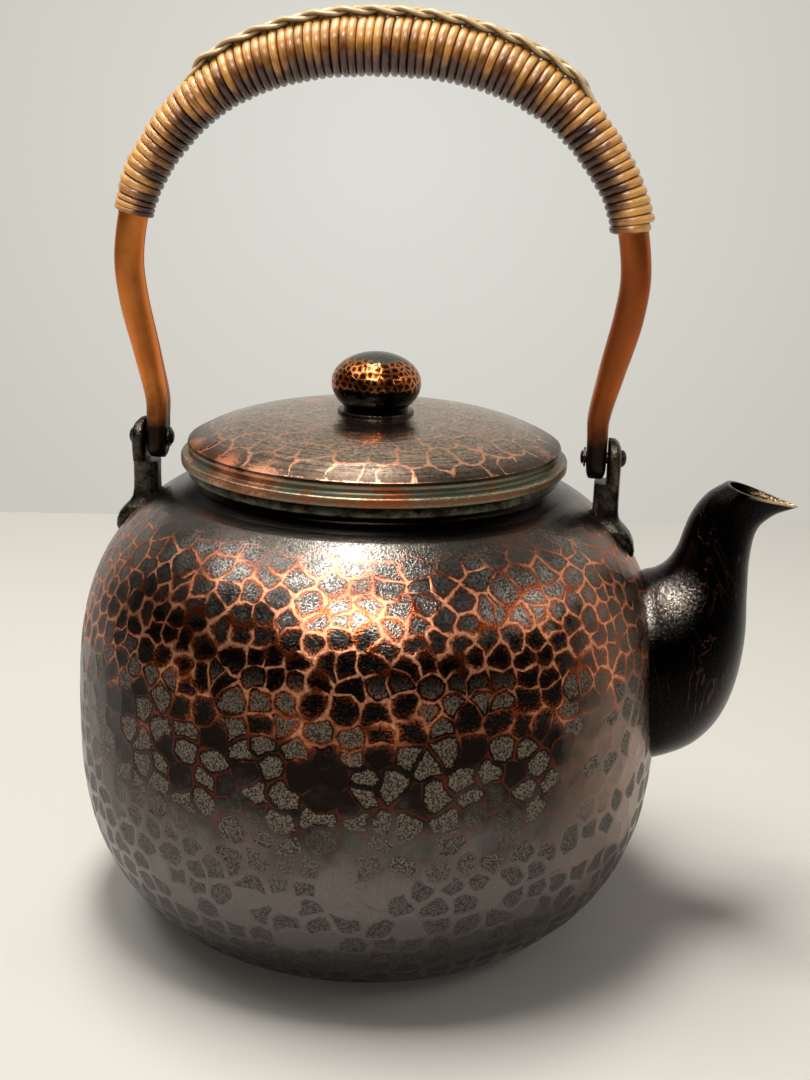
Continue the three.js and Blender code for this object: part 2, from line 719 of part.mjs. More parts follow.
function hingeWasher(side) {
  const top = pivotSpread - tongueHalfThickness - seatGap;
  const outline = ringOutline(rivetRadius + seatGap, rivetWasherRadius, top - rivetWasherHeight, top);
  const washer = closedMesh(spun(outline, smallSides)).rotateY(Math.PI / 2);
  return (side > 0 ? washer : washer.rotateZ(Math.PI)).translate(0, 0, pivotHeight);
}

// The corners of a turn reach out further than its flats, so that the flats clear the tube.
const cornerReach = 1 / Math.cos(Math.PI / turnSteps);

// A strand's section, as shares of its width and thickness: flat towards the tube, rounded on its back
const strandSectionShares = [[-0.5, 0], [0.5, 0], [0.42, 0.65], [0, 1], [-0.42, 0.65]];

// One unbroken strand wound round the tube, clear of it by the seat gap
function windStrand(start, turns, pitch, width) {
  const rings = [];
  const count = Math.round(turns * turnSteps);
  for (let i = 0; i <= count; i += 1) {
    const distance = start + pitch * i / turnSteps;
    const angle = 2 * Math.PI * i / turnSteps;
    const [inPlane, across] = bailHalfSizes(distance);
    const ring = [];
    for (const [side, lift] of strandSectionShares) {
      const rise = seatGap + strandThickness * lift;
      const out = (inPlane + rise) * cornerReach * Math.cos(angle);
      ring.push(besideBail(distance + width * side, out, (across + rise) * cornerReach * Math.sin(angle)));
    }
    rings.push(ring);
  }
  return rings;
}

// Least distance between a turn's points and those of the turn after it
function leastGap(rings) {
  let least = Infinity;
  for (let i = 0; i + turnSteps < rings.length; i += 1) {
    for (const here of rings[i]) {
      for (const there of rings[i + turnSteps]) least = Math.min(least, here.distanceTo(there));
    }
  }
  return least;
}

const bindingStart = wrapStartShare * bailLength;
const bindingRings = windStrand(bindingStart, bindingTurns, bindingPitch, bindingStrandWidth);
const wrapStart = bindingStart + bindingTurns * bindingPitch + wrapPitch;
const wrapTurns = Math.floor((bailLength - bindingStart - wrapStart) / wrapPitch);
const wrapRings = windStrand(wrapStart, wrapTurns, wrapPitch, strandWidth);
console.log(`rattan winding, ${wrapTurns} turns, least gap ${leastGap(wrapRings).toFixed(2)} mm`);
console.log(`end binding, ${bindingTurns} turns, least gap ${leastGap(bindingRings).toFixed(2)} mm`);

// The braid is a flat-bottomed strip that lies on the outer side of the winding.
function braid() {
  const rings = [];
  for (let i = 0; i <= braidRings; i += 1) {
    const share = i / braidRings;
    const distance = bailLength * THREE.MathUtils.lerp(braidStartShare, braidEndShare, share);
    const [inPlane] = bailHalfSizes(distance);
    const lift = (inPlane + seatGap + strandThickness) * cornerReach + seatGap + braidHalfThickness;
    const taper = 1 - (2 * share - 1) ** 6 / 2;
    const ring = [];
    for (let j = 0; j < tubeSides; j += 1) {
      const angle = 2 * Math.PI * (j + 0.5) / tubeSides;
      ring.push(besideBail(distance, lift + braidHalfThickness * taper * Math.cos(angle),
        braidHalfWidth * taper * Math.sin(angle)));
    }
    rings.push(ring);
  }
  return closedMesh(loft(rings, false));
}

const kettle = new THREE.Group();

const vessel = new THREE.Group();
vessel.add(namedMesh('kettle_body', kettleBody(), patina));
vessel.add(namedMesh('mouth_ring', mouthRing(), rimBronze));
vessel.add(namedMesh('spout', spout(), patina));
for (const [place, side] of [['spout_side', 1], ['back_side', -1]]) {
  vessel.add(namedMesh(`ear_${place}`, ear(side), earBronze));
  vessel.add(namedMesh(`ear_washer_${place}`, tenonWasher(side), brightCopper));
  vessel.add(namedMesh(`hinge_rivet_${place}`, hingeRivet(side), earBronze));
  vessel.add(namedMesh(`hinge_washer_${place}`, hingeWasher(side), earBronze));
}
kettle.add(vessel);

const lid = new THREE.Group();
lid.add(namedMesh('lid_plate', lidPlate(), lidPatina));
lid.add(namedMesh('lid_collar', lidCollar(), brightCopper));
lid.add(namedMesh('knob_seat', knobSeat(), lidPatina));
lid.add(namedMesh('lid_knob', lidKnob(), patina));
lid.add(namedMesh('knob_washer', knobWasher(), brightCopper));
lid.add(namedMesh('knob_stud', knobStud(), brightCopper));
kettle.add(lid);

const bail = new THREE.Group();
bail.add(namedMesh('bail_tube', bailTube(), bailCopper));
bail.add(namedMesh('rattan_wrap', closedMesh(loft(wrapRings, false)), rattan));
bail.add(namedMesh('rattan_end_binding', closedMesh(loft(bindingRings, false)), rattan));
bail.add(namedMesh('rattan_braid', braid(), paleRattan));
kettle.add(bail);

export default kettle;
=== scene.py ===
# %% [markdown]
# # A hammered copper kettle with a rattan bail
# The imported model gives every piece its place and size. This notebook dresses it: each piece is worked
# out again as a fine surface, in the same frame, and gets the finish that the real one has.
# Lengths are written in millimetres and turned into metres where a mesh or a material needs them.

# %% Load the frame
import math

import bpy
import numpy as np
from mathutils import Matrix, Vector
from mathutils.geometry import delaunay_2d_cdt


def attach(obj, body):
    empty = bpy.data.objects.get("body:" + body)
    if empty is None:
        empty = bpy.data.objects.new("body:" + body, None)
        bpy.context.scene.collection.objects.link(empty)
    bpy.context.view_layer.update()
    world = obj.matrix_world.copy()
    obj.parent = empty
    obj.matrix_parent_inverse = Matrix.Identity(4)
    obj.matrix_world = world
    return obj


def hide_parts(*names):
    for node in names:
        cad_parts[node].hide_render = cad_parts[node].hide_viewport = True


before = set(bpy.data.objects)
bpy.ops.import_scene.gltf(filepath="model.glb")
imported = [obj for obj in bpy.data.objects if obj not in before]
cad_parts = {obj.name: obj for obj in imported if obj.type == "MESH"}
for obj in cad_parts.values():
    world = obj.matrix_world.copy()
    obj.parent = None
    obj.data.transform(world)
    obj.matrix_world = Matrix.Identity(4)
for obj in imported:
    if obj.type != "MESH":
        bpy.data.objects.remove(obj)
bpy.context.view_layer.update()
MM = 0.001
TURN = 2 * math.pi
print(len(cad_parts), "nodes in the frame")

# %% [markdown]
# ## Camera
# The kettle stands a little below the eye, about half a metre away. The camera is set by its place, by
# the way it faces, by how far it looks down and by its small roll. A wide lens this close makes the
# belly look larger than the bail above it, so distance and lens have to be right together.

# %% Camera
lens_length, sensor_width = 54.07, 36
camera_place = (56.8, -506.1, 269.0)
heading, look_down, roll = (math.radians(degrees) for degrees in (5.22, 15.82, 1.65))


def into_scene(name, data):
    """A new object with this data, in the scene."""
    thing = bpy.data.objects.new(name, data)
    bpy.context.scene.collection.objects.link(thing)
    return thing


camera_data = bpy.data.cameras.new("camera")
camera_data.lens, camera_data.sensor_width = lens_length, sensor_width
camera = into_scene("camera", camera_data)
facing = (Matrix.Rotation(heading, 4, "Z") @ Matrix.Rotation(math.pi / 2 - look_down, 4, "X")
          @ Matrix.Rotation(roll, 4, "Z"))
camera.matrix_world = Matrix.Translation(Vector(camera_place) * MM) @ facing
bpy.context.scene.camera = camera
bpy.context.scene.view_settings.view_transform = "Standard"
print("camera with a lens of", lens_length, "mm")

# %% [markdown]
# ## Colours and nodes
# Colours are written as people pick them, as sRGB hex. Shaders count in linear light, so one function
# turns them. One more helper adds a node with its settings and links, which keeps a material readable.
# Inputs that share a name go by their number. In a Math node 0, 1 and 2 are its three values. In a Map
# Range node 0 is the value, 1 and 2 are the two ends that it comes from, and 3 and 4 the two ends that it
# goes to. In a Mix node 0 is the share, and it goes from input 2 to 3 for numbers, and from 6 to 7 for
# colours.

# %% Colour and node helpers
def colour(hex_text):
    """A linear colour from an sRGB hex text, by the sRGB curve."""
    parts = [int(hex_text[i:i + 2], 16) / 255 for i in (1, 3, 5)]
    linear = [c / 12.92 if c <= 0.04045 else ((c + 0.055) / 1.055) ** 2.4 for c in parts]
    return (*linear, 1.0)


def scale_of(size):
    """The Scale of a pattern whose grains, clouds or folds are this many millimetres across."""
    return 1000 / size


def add(tree, kind, inputs=None, **settings):
    """Adds one node. kind is its type without "ShaderNode" and settings are its own properties. Inputs are
    numbers, colours as hex text, or what feeds them: a socket, or a node, of which the first output in use
    is taken."""
    node = tree.nodes.new("ShaderNode" + kind)
    for name, value in settings.items():
        setattr(node, name, value)
    for name, value in (inputs or {}).items():
        if isinstance(value, bpy.types.Node):
            value = next(socket for socket in value.outputs if socket.enabled)
        if isinstance(value, bpy.types.NodeSocket):
            tree.links.new(value, node.inputs[name])
        else:
            node.inputs[name].default_value = colour(value) if isinstance(value, str) else value
    return node


def new_material(name):
    """An empty material and its node tree."""
    material = bpy.data.materials.new(name)
    material.use_nodes = True
    material.node_tree.nodes.clear()
    return material, material.node_tree


print("white is", colour("#ffffff")[:3], "and mid grey", [round(c, 3) for c in colour("#808080")[:3]])

# %% [markdown]
# ## Stage
# The floor is a pale table top that ends half a metre behind the kettle. Beyond it the world shows a pale
# wall, and away from the wall a dim room, which the metal mirrors at its sides. Dark metal shows what
# stands round it rather than the light that falls on it, so a dark card in front, which only reflections
# see, keeps the belly as dark as it is in a room.

# %% Table top and dark card
def matt(name, tint, roughness):
    """A plain matt material: one even colour with no gloss to speak of."""
    material, tree = new_material(name)
    paint = add(tree, "BsdfPrincipled", {"Base Color": tint, "Roughness": roughness})
    add(tree, "OutputMaterial", {"Surface": paint})
    return material


def sheet_of(name, low, high, material):
    """A flat rectangle at height 0, between two corners."""
    corners = [(low[0], low[1], 0), (high[0], low[1], 0), (high[0], high[1], 0), (low[0], high[1], 0)]
    mesh = bpy.data.meshes.new(name)
    mesh.from_pydata([[c * MM for c in corner] for corner in corners], [], [(0, 1, 2, 3)])
    mesh.materials.append(material)
    sheet = into_scene(name, mesh)
    return sheet


table_end, table_turn = 488.4, 7.75
card_distance, card_height = 1350, 450

table_paint = matt("matt_white_table_paint", "#e9e6dd", roughness=0.6)
table_top = sheet_of("table_top", (-3000, -3000), (3000, table_end), table_paint)
table_top.data.transform(Matrix.Rotation(math.radians(table_turn), 4, "Z"))

card = sheet_of("dark_card", (-1500, -650), (1500, 650), matt("black_felt", "#1a1816", roughness=0.9))
upright = Matrix.Rotation(math.pi / 2, 4, "X")
card.data.transform(Matrix.Translation(Vector((0, -card_distance, card_height)) * MM) @ upright)
card.visible_camera = False
card.visible_shadow = False
print("table top ends", table_end, "mm behind the kettle")

# %% [markdown]
# The wall is a colour of the world, so it takes no light and throws none. It is lightest in one place
# and dims away from it. Only the camera and reflections see it. All other rays meet a weak white light.

# %% Wall and room
lightest_way = (-0.108, 0.991, -0.04)
wall_way = (0.26, 0.965, 0.0)
room_light = 0.09

world = bpy.data.worlds.new("pale_room")
bpy.context.scene.world = world
world.use_nodes = True
tree = world.node_tree
tree.nodes.clear()
direction = add(tree, "TexCoord").outputs["Generated"]
aside = add(tree, "VectorMath", {0: direction, 1: lightest_way}, operation="DISTANCE").outputs["Value"]
dimmed = add(tree, "MapRange", {0: aside, 1: 0.02, 2: 0.3})
wall = add(tree, "Mix", {0: dimmed, 6: "#dfded6", 7: "#cac7be"}, data_type="RGBA")
off_wall = add(tree, "VectorMath", {0: direction, 1: wall_way}, operation="DISTANCE").outputs["Value"]
turned_away = add(tree, "MapRange", {0: off_wall, 1: 0.98, 2: 1.38})
wall = add(tree, "Mix", {0: turned_away, 6: wall, 7: "#3a3733"}, data_type="RGBA")
seen = add(tree, "LightPath").outputs
shown = add(tree, "Math", {0: seen["Is Camera Ray"], 1: seen["Is Glossy Ray"]}, operation="MAXIMUM")
shown = add(tree, "Math", {0: shown, 1: seen["Is Transmission Ray"]}, operation="MAXIMUM")
light = add(tree, "Background", {"Color": "#ffffff", "Strength": room_light})
backdrop = add(tree, "Background", {"Color": wall, "Strength": 1.0})
mixed = add(tree, "MixShader", {0: shown, 1: light, 2: backdrop})
add(tree, "OutputWorld", {"Surface": mixed})
print("world with", len(tree.nodes), "nodes")

# %% [markdown]
# A soft lamp hangs overhead, with a window's light from each side. The front lamp is only there for the
# gleam on the shoulder: it lights nothing else. The front fill does the opposite: it is large and far
# off, it lifts the shadows on the cane and the table, and the metal does not show it.

# %% Lamps
aimed_at = (0, 0, 90)


def softbox(name, elevation, azimuth, distance, size, power, tint="#fffcf8"):
    """An area lamp that faces the kettle, with a width and a height. Azimuth 0 is in front of the kettle
    and 90 is on the spout's side."""
    data = bpy.data.lights.new(name, "AREA")
    data.shape = "RECTANGLE"
    data.size, data.size_y = size[0] * MM, size[1] * MM
    data.energy = power
    data.color = colour(tint)[:3]
    lamp = into_scene(name, data)
    up, round_it = math.radians(elevation), math.radians(azimuth)
    way = Vector((math.sin(round_it) * math.cos(up), -math.cos(round_it) * math.cos(up), math.sin(up)))
    lamp.location = (Vector(aimed_at) + way * distance) * MM
    lamp.rotation_euler = way.to_track_quat("Z", "Y").to_euler()
    return lamp


softbox("overhead_lamp", elevation=84, azimuth=-95, distance=1050, size=(560, 240), power=10.2)
softbox("left_window", elevation=58, azimuth=-90, distance=1200, size=(700, 400), power=3.4)
gleam = softbox("front_lamp", elevation=51, azimuth=-3, distance=1300, size=(460, 120), power=9.0)
gleam.visible_diffuse = False
softbox("right_window", elevation=36, azimuth=80, distance=1300, size=(700, 160), power=1.3, tint="#fff8f0")
fill = softbox("front_fill", elevation=4, azimuth=-15, distance=3500, size=(3080, 448), power=42.0,
               tint="#fffaf4")
fill.visible_glossy = False
print(len(bpy.data.lights), "lamps")

# %% [markdown]
# ## From points to pieces
# A piece is a grid of points that a formula gives. The grid is cut into triangles, points that fall
# together are welded, and triangles that the welding has emptied are dropped. So a pole, a seam or a
# closed ring needs no case of its own.

# %% Grids and welding
WELD_STEPS = 1e4


def grid_triangles(rows, columns, close_rows=False, close_columns=False):
    """Two triangles for each cell of a grid of points that is stored row by row."""
    i, j = np.meshgrid(np.arange(rows if close_rows else rows - 1),
                       np.arange(columns if close_columns else columns - 1), indexing="ij")
    here, right = i * columns + j, i * columns + (j + 1) % columns
    up, up_right = ((i + 1) % rows) * columns + j, ((i + 1) % rows) * columns + (j + 1) % columns
    lower = np.stack([here, right, up_right], -1).reshape(-1, 3)
    upper = np.stack([here, up_right, up], -1).reshape(-1, 3)
    return np.concatenate([lower, upper])


def capped(rings, sides):
    """The triangles of a skin of rings, with a fan of triangles over its first and its last ring."""
    fan = np.array([(0, j, j + 1) for j in range(1, sides - 1)])
    skin = grid_triangles(rings, sides, False, True)
    return np.concatenate([skin, fan[:, ::-1], fan + (rings - 1) * sides])


def weld(points, triangles, values=None, tones=None):
    """Points that agree to a ten-thousandth of a millimetre become one; its values are their mean."""
    keys = np.round(points * WELD_STEPS).astype(np.int64)
    _, first, place = np.unique(keys, axis=0, return_index=True, return_inverse=True)
    place = place.ravel()
    triangles = place[triangles]
    a, b, c = triangles.T
    kept = (a != b) & (b != c) & (c != a)
    counts = np.bincount(place)
    means = {n: np.bincount(place, weights=v) / counts for n, v in (values or {}).items()}
    faces = {n: v[kept] for n, v in (tones or {}).items()}
    return points[first], triangles[kept], means, faces


def outward(points, triangles):
    """Turns all triangles over if the volume that they enclose comes out negative."""
    a, b, c = (points[triangles[:, k]] for k in range(3))
    volume = np.einsum("ij,ij->i", a, np.cross(b, c)).sum()
    return triangles[:, ::-1] if volume < 0 else triangles


print("a grid of 3 by 4 points has", len(grid_triangles(3, 4)), "triangles")

# %% [markdown]
# A piece is counted before it is handed on: in a closed skin each edge belongs to just two triangles, and
# the print says how many edges do not.

# %% Making a piece
def open_edges(triangles):
    """How many edges belong to any other number of triangles than two."""
    edges = np.concatenate([triangles[:, [0, 1]], triangles[:, [1, 2]], triangles[:, [2, 0]]])
    edges = np.sort(edges, axis=1)
    return int((np.unique(edges, axis=0, return_counts=True)[1] != 2).sum())


def make_piece(name, points, triangles, body, slot, material, stands_for=(), sharp=40,
               values=None, tones=None, uv=None):
    """A closed piece from points in millimetres, riding on a body and standing for CAD nodes. It is shaded
    smooth but for edges sharper than some degrees. uv gives each point a place in the piece's own pattern."""
    values = dict(values or {})
    if uv is not None:
        values["pattern_u"], values["pattern_v"] = uv[:, 0], uv[:, 1]
    points, triangles, values, tones = weld(np.asarray(points, float), triangles, values, tones)
    triangles = outward(points, triangles)
    mesh = bpy.data.meshes.new(name)
    mesh.from_pydata((points * MM).tolist(), [], triangles.tolist())
    for names, domain in ((values, "POINT"), (tones, "FACE")):
        for key, numbers in names.items():
            attribute = mesh.attributes.new(key, "FLOAT", domain)
            attribute.data.foreach_set("value", np.asarray(numbers, np.float32))
    mesh.shade_smooth()
    mesh.set_sharp_from_angle(angle=math.radians(sharp))
    piece = into_scene(name, mesh)
    mesh.materials.append(material)
    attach(piece, body)
    if stands_for:
        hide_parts(*stands_for)
    print(f"{name}: {len(triangles)} triangles, {open_edges(triangles)} open edges")
    return piece


# %% [markdown]
# Most turned and raised pieces are an outline carried round the vertical axis, and their soft corners are
# short curves. A few more helpers measure a line and ease a value in and out.

# %% Outlines and lines
def around(count):
    """Equal steps of angle round a whole turn."""
    return np.arange(count) * TURN / count


def spun(outline, angles):
    """An outline of radius and height pairs carried round the vertical axis through the angles."""
    outline = np.asarray(outline, float)
    radius, height = outline[:, :1], outline[:, 1:]
    points = np.stack([radius * np.cos(angles), radius * np.sin(angles), height + 0 * angles], -1)
    return points.reshape(-1, 3), grid_triangles(len(outline), len(angles), close_columns=True)


def joined(*parts):
    """Several sets of points and triangles as one."""
    counts = np.cumsum([0] + [len(p) for p, _ in parts])
    return np.concatenate([p for p, _ in parts]), np.concatenate([t + c for (_, t), c in zip(parts, counts)])


def bow(start, corner, end, steps):
    """Points of a quadratic curve from start to end that leans towards its corner, start left out."""
    t = np.linspace(0, 1, steps + 1)[1:, None]
    return (1 - t) ** 2 * np.array(start) + 2 * t * (1 - t) * np.array(corner) + t ** 2 * np.array(end)


def run_along(line):
    """How far along a line of points each point lies, from 0 at the first."""
    return np.concatenate([[0], np.cumsum(np.hypot.reduce(np.diff(line, axis=0), axis=1))])


def smooth(value):
    """Eases from 0 to 1 without a corner at either end."""
    t = np.clip(value, 0, 1)
    return t * t * (3 - 2 * t)


print("half way a smooth step has reached", smooth(0.5))

# %% [markdown]
# ## Worn ridges
# The copper was darkened with a sulphur bath, smoke and oil until it was nearly black, and then years of
# handling wore the ridges between the hammer marks back to bright copper. So the finish follows the
# shape: each hammered mesh carries the distance to its nearest ridge, in millimetres, and the shader
# turns that distance into copper lines that swell, fray and break off.

# %% Worn ridges
line_softness = 0.35


def worn_ridges(tree, where, width, swell, gap, ragged):
    """How bare the copper is, 0 to 1: near a ridge, over a width in millimetres that swells and shrinks
    along it, with ragged edges, and with gaps where the patina has held."""
    ridge = add(tree, "Attribute", attribute_name="ridge").outputs["Fac"]
    broad = add(tree, "TexNoise", {"Vector": where, "Scale": scale_of(5), "Detail": 2})
    holding = add(tree, "TexNoise", {"Vector": where, "Scale": scale_of(9), "Detail": 1})
    fine = add(tree, "TexNoise", {"Vector": where, "Scale": scale_of(0.9), "Detail": 3, "Roughness": 0.7})
    frayed = add(tree, "Math", {0: fine, 1: 0.5}, operation="SUBTRACT")
    frayed = add(tree, "Math", {0: frayed, 1: ragged, 2: ridge}, operation="MULTIPLY_ADD")
    swollen = add(tree, "Math", {0: broad, 1: 0.5}, operation="SUBTRACT")
    frayed = add(tree, "Math", {0: swollen, 1: -swell, 2: frayed}, operation="MULTIPLY_ADD")
    outer = add(tree, "Math", {0: width, 1: line_softness}, operation="ADD")
    bare = add(tree, "MapRange", {0: frayed, 1: outer, 2: width, 3: 0.0, 4: 1.0})
    unbroken = add(tree, "MapRange", {0: holding, 1: gap - 0.05, 2: gap + 0.05})
    return add(tree, "Math", {0: bare, 1: unbroken}, operation="MULTIPLY")


print("copper lines soften over", line_softness, "mm at their edges")

# %% [markdown]
# ## Patina of the vessel
# Three zones lie one over the other. The shoulder is rubbed: cells in a net of copper, black below and
# grey towards the neck, with a speckled rust round the ridges where hands take hold. The belly is black,
# and about half of its marks are rough ovals with a fine worm-like grain, left by a pitted hammer face,
# which scatter light where the smooth skin mirrors the dark side of the room. The lowest part is a grey
# satin, where the same ovals look darker because the smooth skin mirrors the table. On the spout's side
# the skin is painted a warm grey, a painted sheen for the bright room that this side mirrors. The real
# grain is about 0.3 mm; it is drawn at twice that, so that it shows.

# %% Vessel's zones
shell_finish, tree = new_material("hammered_copper_dark_patina")
where = add(tree, "TexCoord").outputs["Object"]
place = add(tree, "SeparateXYZ", {0: where}).outputs
height = place["Z"]
ridge = add(tree, "Attribute", attribute_name="ridge").outputs["Fac"]
tone = add(tree, "Attribute", attribute_name="mark_tone").outputs["Fac"]
patches = add(tree, "TexNoise", {"Vector": where, "Scale": scale_of(15), "Detail": 3, "Roughness": 0.6})
grain = add(tree, "TexNoise", {"Vector": where, "Scale": scale_of(0.7), "Detail": 2, "Roughness": 0.7})
worms = add(tree, "TexNoise", {"Vector": where, "Scale": scale_of(0.55), "Detail": 0, "Distortion": 0.6})
blurred = add(tree, "Math", {0: patches, 1: 45 * MM, 2: height}, operation="MULTIPLY_ADD")
rubbed = add(tree, "MapRange", {0: blurred, 1: 112 * MM, 2: 130 * MM}, interpolation_type="SMOOTHSTEP")
spared = add(tree, "MapRange", {0: blurred, 1: 165 * MM, 2: 152 * MM, 3: 0.15, 4: 1.0})
rubbed = add(tree, "Math", {0: rubbed, 1: spared}, operation="MULTIPLY")
smudge = add(tree, "MapRange", {0: patches, 1: 0.46, 2: 0.62}, interpolation_type="SMOOTHSTEP")
smudge = add(tree, "Math", {0: smudge, 1: rubbed}, operation="MULTIPLY")
low_zone = add(tree, "MapRange", {0: blurred, 1: 104 * MM, 2: 66 * MM}, interpolation_type="SMOOTHSTEP")
print("vessel's zones", len(tree.nodes), "nodes")

# %% Vessel's copper lines
# Lines are widest in smudges, fade out below the belly and stop under the neck. The halo is the speckled
# rust round them.
width = add(tree, "Math", {0: rubbed, 1: 0.08, 2: -0.06}, operation="MULTIPLY_ADD")
width = add(tree, "Math", {0: smudge, 1: 0.62, 2: width}, operation="MULTIPLY_ADD")
ragged = add(tree, "Math", {0: smudge, 1: 3.6, 2: 0.7}, operation="MULTIPLY_ADD")
bare = worn_ridges(tree, where, width, swell=1.5, gap=0.42, ragged=ragged)
low_fade = add(tree, "MapRange", {0: height, 1: 30 * MM, 2: 85 * MM})
neck_fade = add(tree, "MapRange", {0: height, 1: 140.5 * MM, 2: 135 * MM})
belly_share = add(tree, "MapRange", {0: rubbed, 1: 0.0, 2: 0.5, 3: 0.3, 4: 1.0})
for faded in (low_fade, neck_fade, belly_share):
    bare = add(tree, "Math", {0: bare, 1: faded}, operation="MULTIPLY")
speckled = add(tree, "Math", {0: grain, 1: -7.0, 2: ridge}, operation="MULTIPLY_ADD")
halo_reach = add(tree, "Math", {0: patches, 1: 5.0, 2: -5.25}, operation="MULTIPLY_ADD")
speckled = add(tree, "Math", {0: speckled, 1: halo_reach}, operation="SUBTRACT")
halo = add(tree, "MapRange", {0: speckled, 1: 0.5, 2: -0.5, 3: 0.0, 4: 1.0})
for faded in (rubbed, neck_fade):
    halo = add(tree, "Math", {0: halo, 1: faded}, operation="MULTIPLY")
print("with its copper lines", len(tree.nodes), "nodes")

# %% Vessel's rough ovals
# Each blow has a tone of its own, 0 to 1, which says whether it left a rough oval. In the belly fewer
# did than below. An oval starts a millimetre or so inside its blow's ridges.
mid_mark = add(tree, "Math", {0: tone, 1: 0.42}, operation="GREATER_THAN")
low_mark = add(tree, "Math", {0: tone, 1: 0.15}, operation="GREATER_THAN")
mark_top = add(tree, "MapRange", {0: height, 1: 112 * MM, 2: 104 * MM})
chosen = add(tree, "Mix", {0: low_zone, 2: mid_mark, 3: low_mark})
chosen = add(tree, "Math", {0: chosen, 1: mark_top}, operation="MULTIPLY")
feathered = add(tree, "Math", {0: worms, 1: 0.8, 2: ridge}, operation="MULTIPLY_ADD")
inset = add(tree, "Math", {0: low_zone, 1: 0.15, 2: feathered}, operation="MULTIPLY_ADD")
oval = add(tree, "MapRange", {0: inset, 1: 1.1, 2: 1.6}, interpolation_type="SMOOTHSTEP")
oval = add(tree, "Math", {0: oval, 1: chosen}, operation="MULTIPLY")
print("with its ovals", len(tree.nodes), "nodes")

# %% Vessel's smooth skin
mottled = add(tree, "MapRange", {0: grain, 1: 0.38, 2: 0.6})
low_skin = add(tree, "Mix", {0: grain, 6: "#524d4b", 7: "#746e6b"}, data_type="RGBA")
mid_skin = add(tree, "Mix", {0: grain, 6: "#130f0d", 7: "#241e1a"}, data_type="RGBA")
black_cells = add(tree, "Mix", {0: mottled, 6: "#141210", 7: "#38332e"}, data_type="RGBA")
grey_cells = add(tree, "Mix", {0: mottled, 6: "#4a4643", 7: "#9c968f"}, data_type="RGBA")
neck_skin = add(tree, "Mix", {0: grain, 6: "#2a2724", 7: "#77726b"}, data_type="RGBA")
greyer = add(tree, "MapRange", {0: blurred, 1: 138 * MM, 2: 150 * MM}, interpolation_type="SMOOTHSTEP")
high_skin = add(tree, "Mix", {0: greyer, 6: black_cells, 7: grey_cells}, data_type="RGBA")
foot_of_neck = add(tree, "MapRange", {0: blurred, 1: 158 * MM, 2: 166 * MM}, interpolation_type="SMOOTHSTEP")
up_neck = add(tree, "MapRange", {0: height, 1: 141 * MM, 2: 143.5 * MM}, interpolation_type="SMOOTHSTEP")
# Painted sheen: the skin on the spout's side is a lighter warm grey, standing in for what that side mirrors.
spout_side_painted_sheen = add(tree, "Math", {0: patches, 1: 30 * MM, 2: place["X"]}, operation="MULTIPLY_ADD")
spout_side_painted_sheen = add(tree, "MapRange", {0: spout_side_painted_sheen, 1: 76 * MM, 2: 102 * MM, 3: 0.0, 4: 0.85})
skin = mid_skin
for share, layer in ((rubbed, high_skin), (low_zone, low_skin), (foot_of_neck, neck_skin),
                     (up_neck, "#191614"), (spout_side_painted_sheen, "#937a6d")):
    skin = add(tree, "Mix", {0: share, 6: skin, 7: layer}, data_type="RGBA")
print("with its skin", len(tree.nodes), "nodes")

# %% Vessel's colours and relief
crest = add(tree, "MapRange", {0: ridge, 1: 0.5, 2: 0.05, 3: 0.0, 4: 0.55})
lit = add(tree, "Math", {0: mottled, 1: 0.5, 2: crest}, operation="MULTIPLY_ADD")
copper = add(tree, "Mix", {0: lit, 6: "#7c3014", 7: "#ffb48a"}, data_type="RGBA")
copper = add(tree, "Mix", {0: rubbed, 6: "#8a3a20", 7: copper}, data_type="RGBA")
pits = add(tree, "MapRange", {0: worms, 1: 0.4, 2: 0.6})
mid_oval = add(tree, "Mix", {0: pits, 6: "#3a322b", 7: "#7c7165"}, data_type="RGBA")
low_oval = add(tree, "Mix", {0: pits, 6: "#403b39", 7: "#625c59"}, data_type="RGBA")
mark = add(tree, "Mix", {0: low_zone, 6: mid_oval, 7: low_oval}, data_type="RGBA")
base = skin
for share, layer in ((oval, mark), (halo, "#a04e28"), (bare, copper)):
    base = add(tree, "Mix", {0: share, 6: base, 7: layer}, data_type="RGBA")
dull = add(tree, "Math", {0: oval, 1: 0.22, 2: 0.24}, operation="MULTIPLY_ADD")
dull = add(tree, "Math", {0: bare, 1: 0.16, 2: dull}, operation="MULTIPLY_ADD")
pitted = add(tree, "Math", {0: worms, 1: oval}, operation="MULTIPLY")
relief = add(tree, "Math", {0: grain, 1: 0.8, 2: pitted}, operation="MULTIPLY_ADD")
bump = add(tree, "Bump", {"Height": relief, "Distance": 0.14 * MM})
shader = add(tree, "BsdfPrincipled", {"Base Color": base, "Metallic": 1.0, "Roughness": dull, "Normal": bump})
add(tree, "OutputMaterial", {"Surface": shader})
print("vessel finish", len(tree.nodes), "nodes")
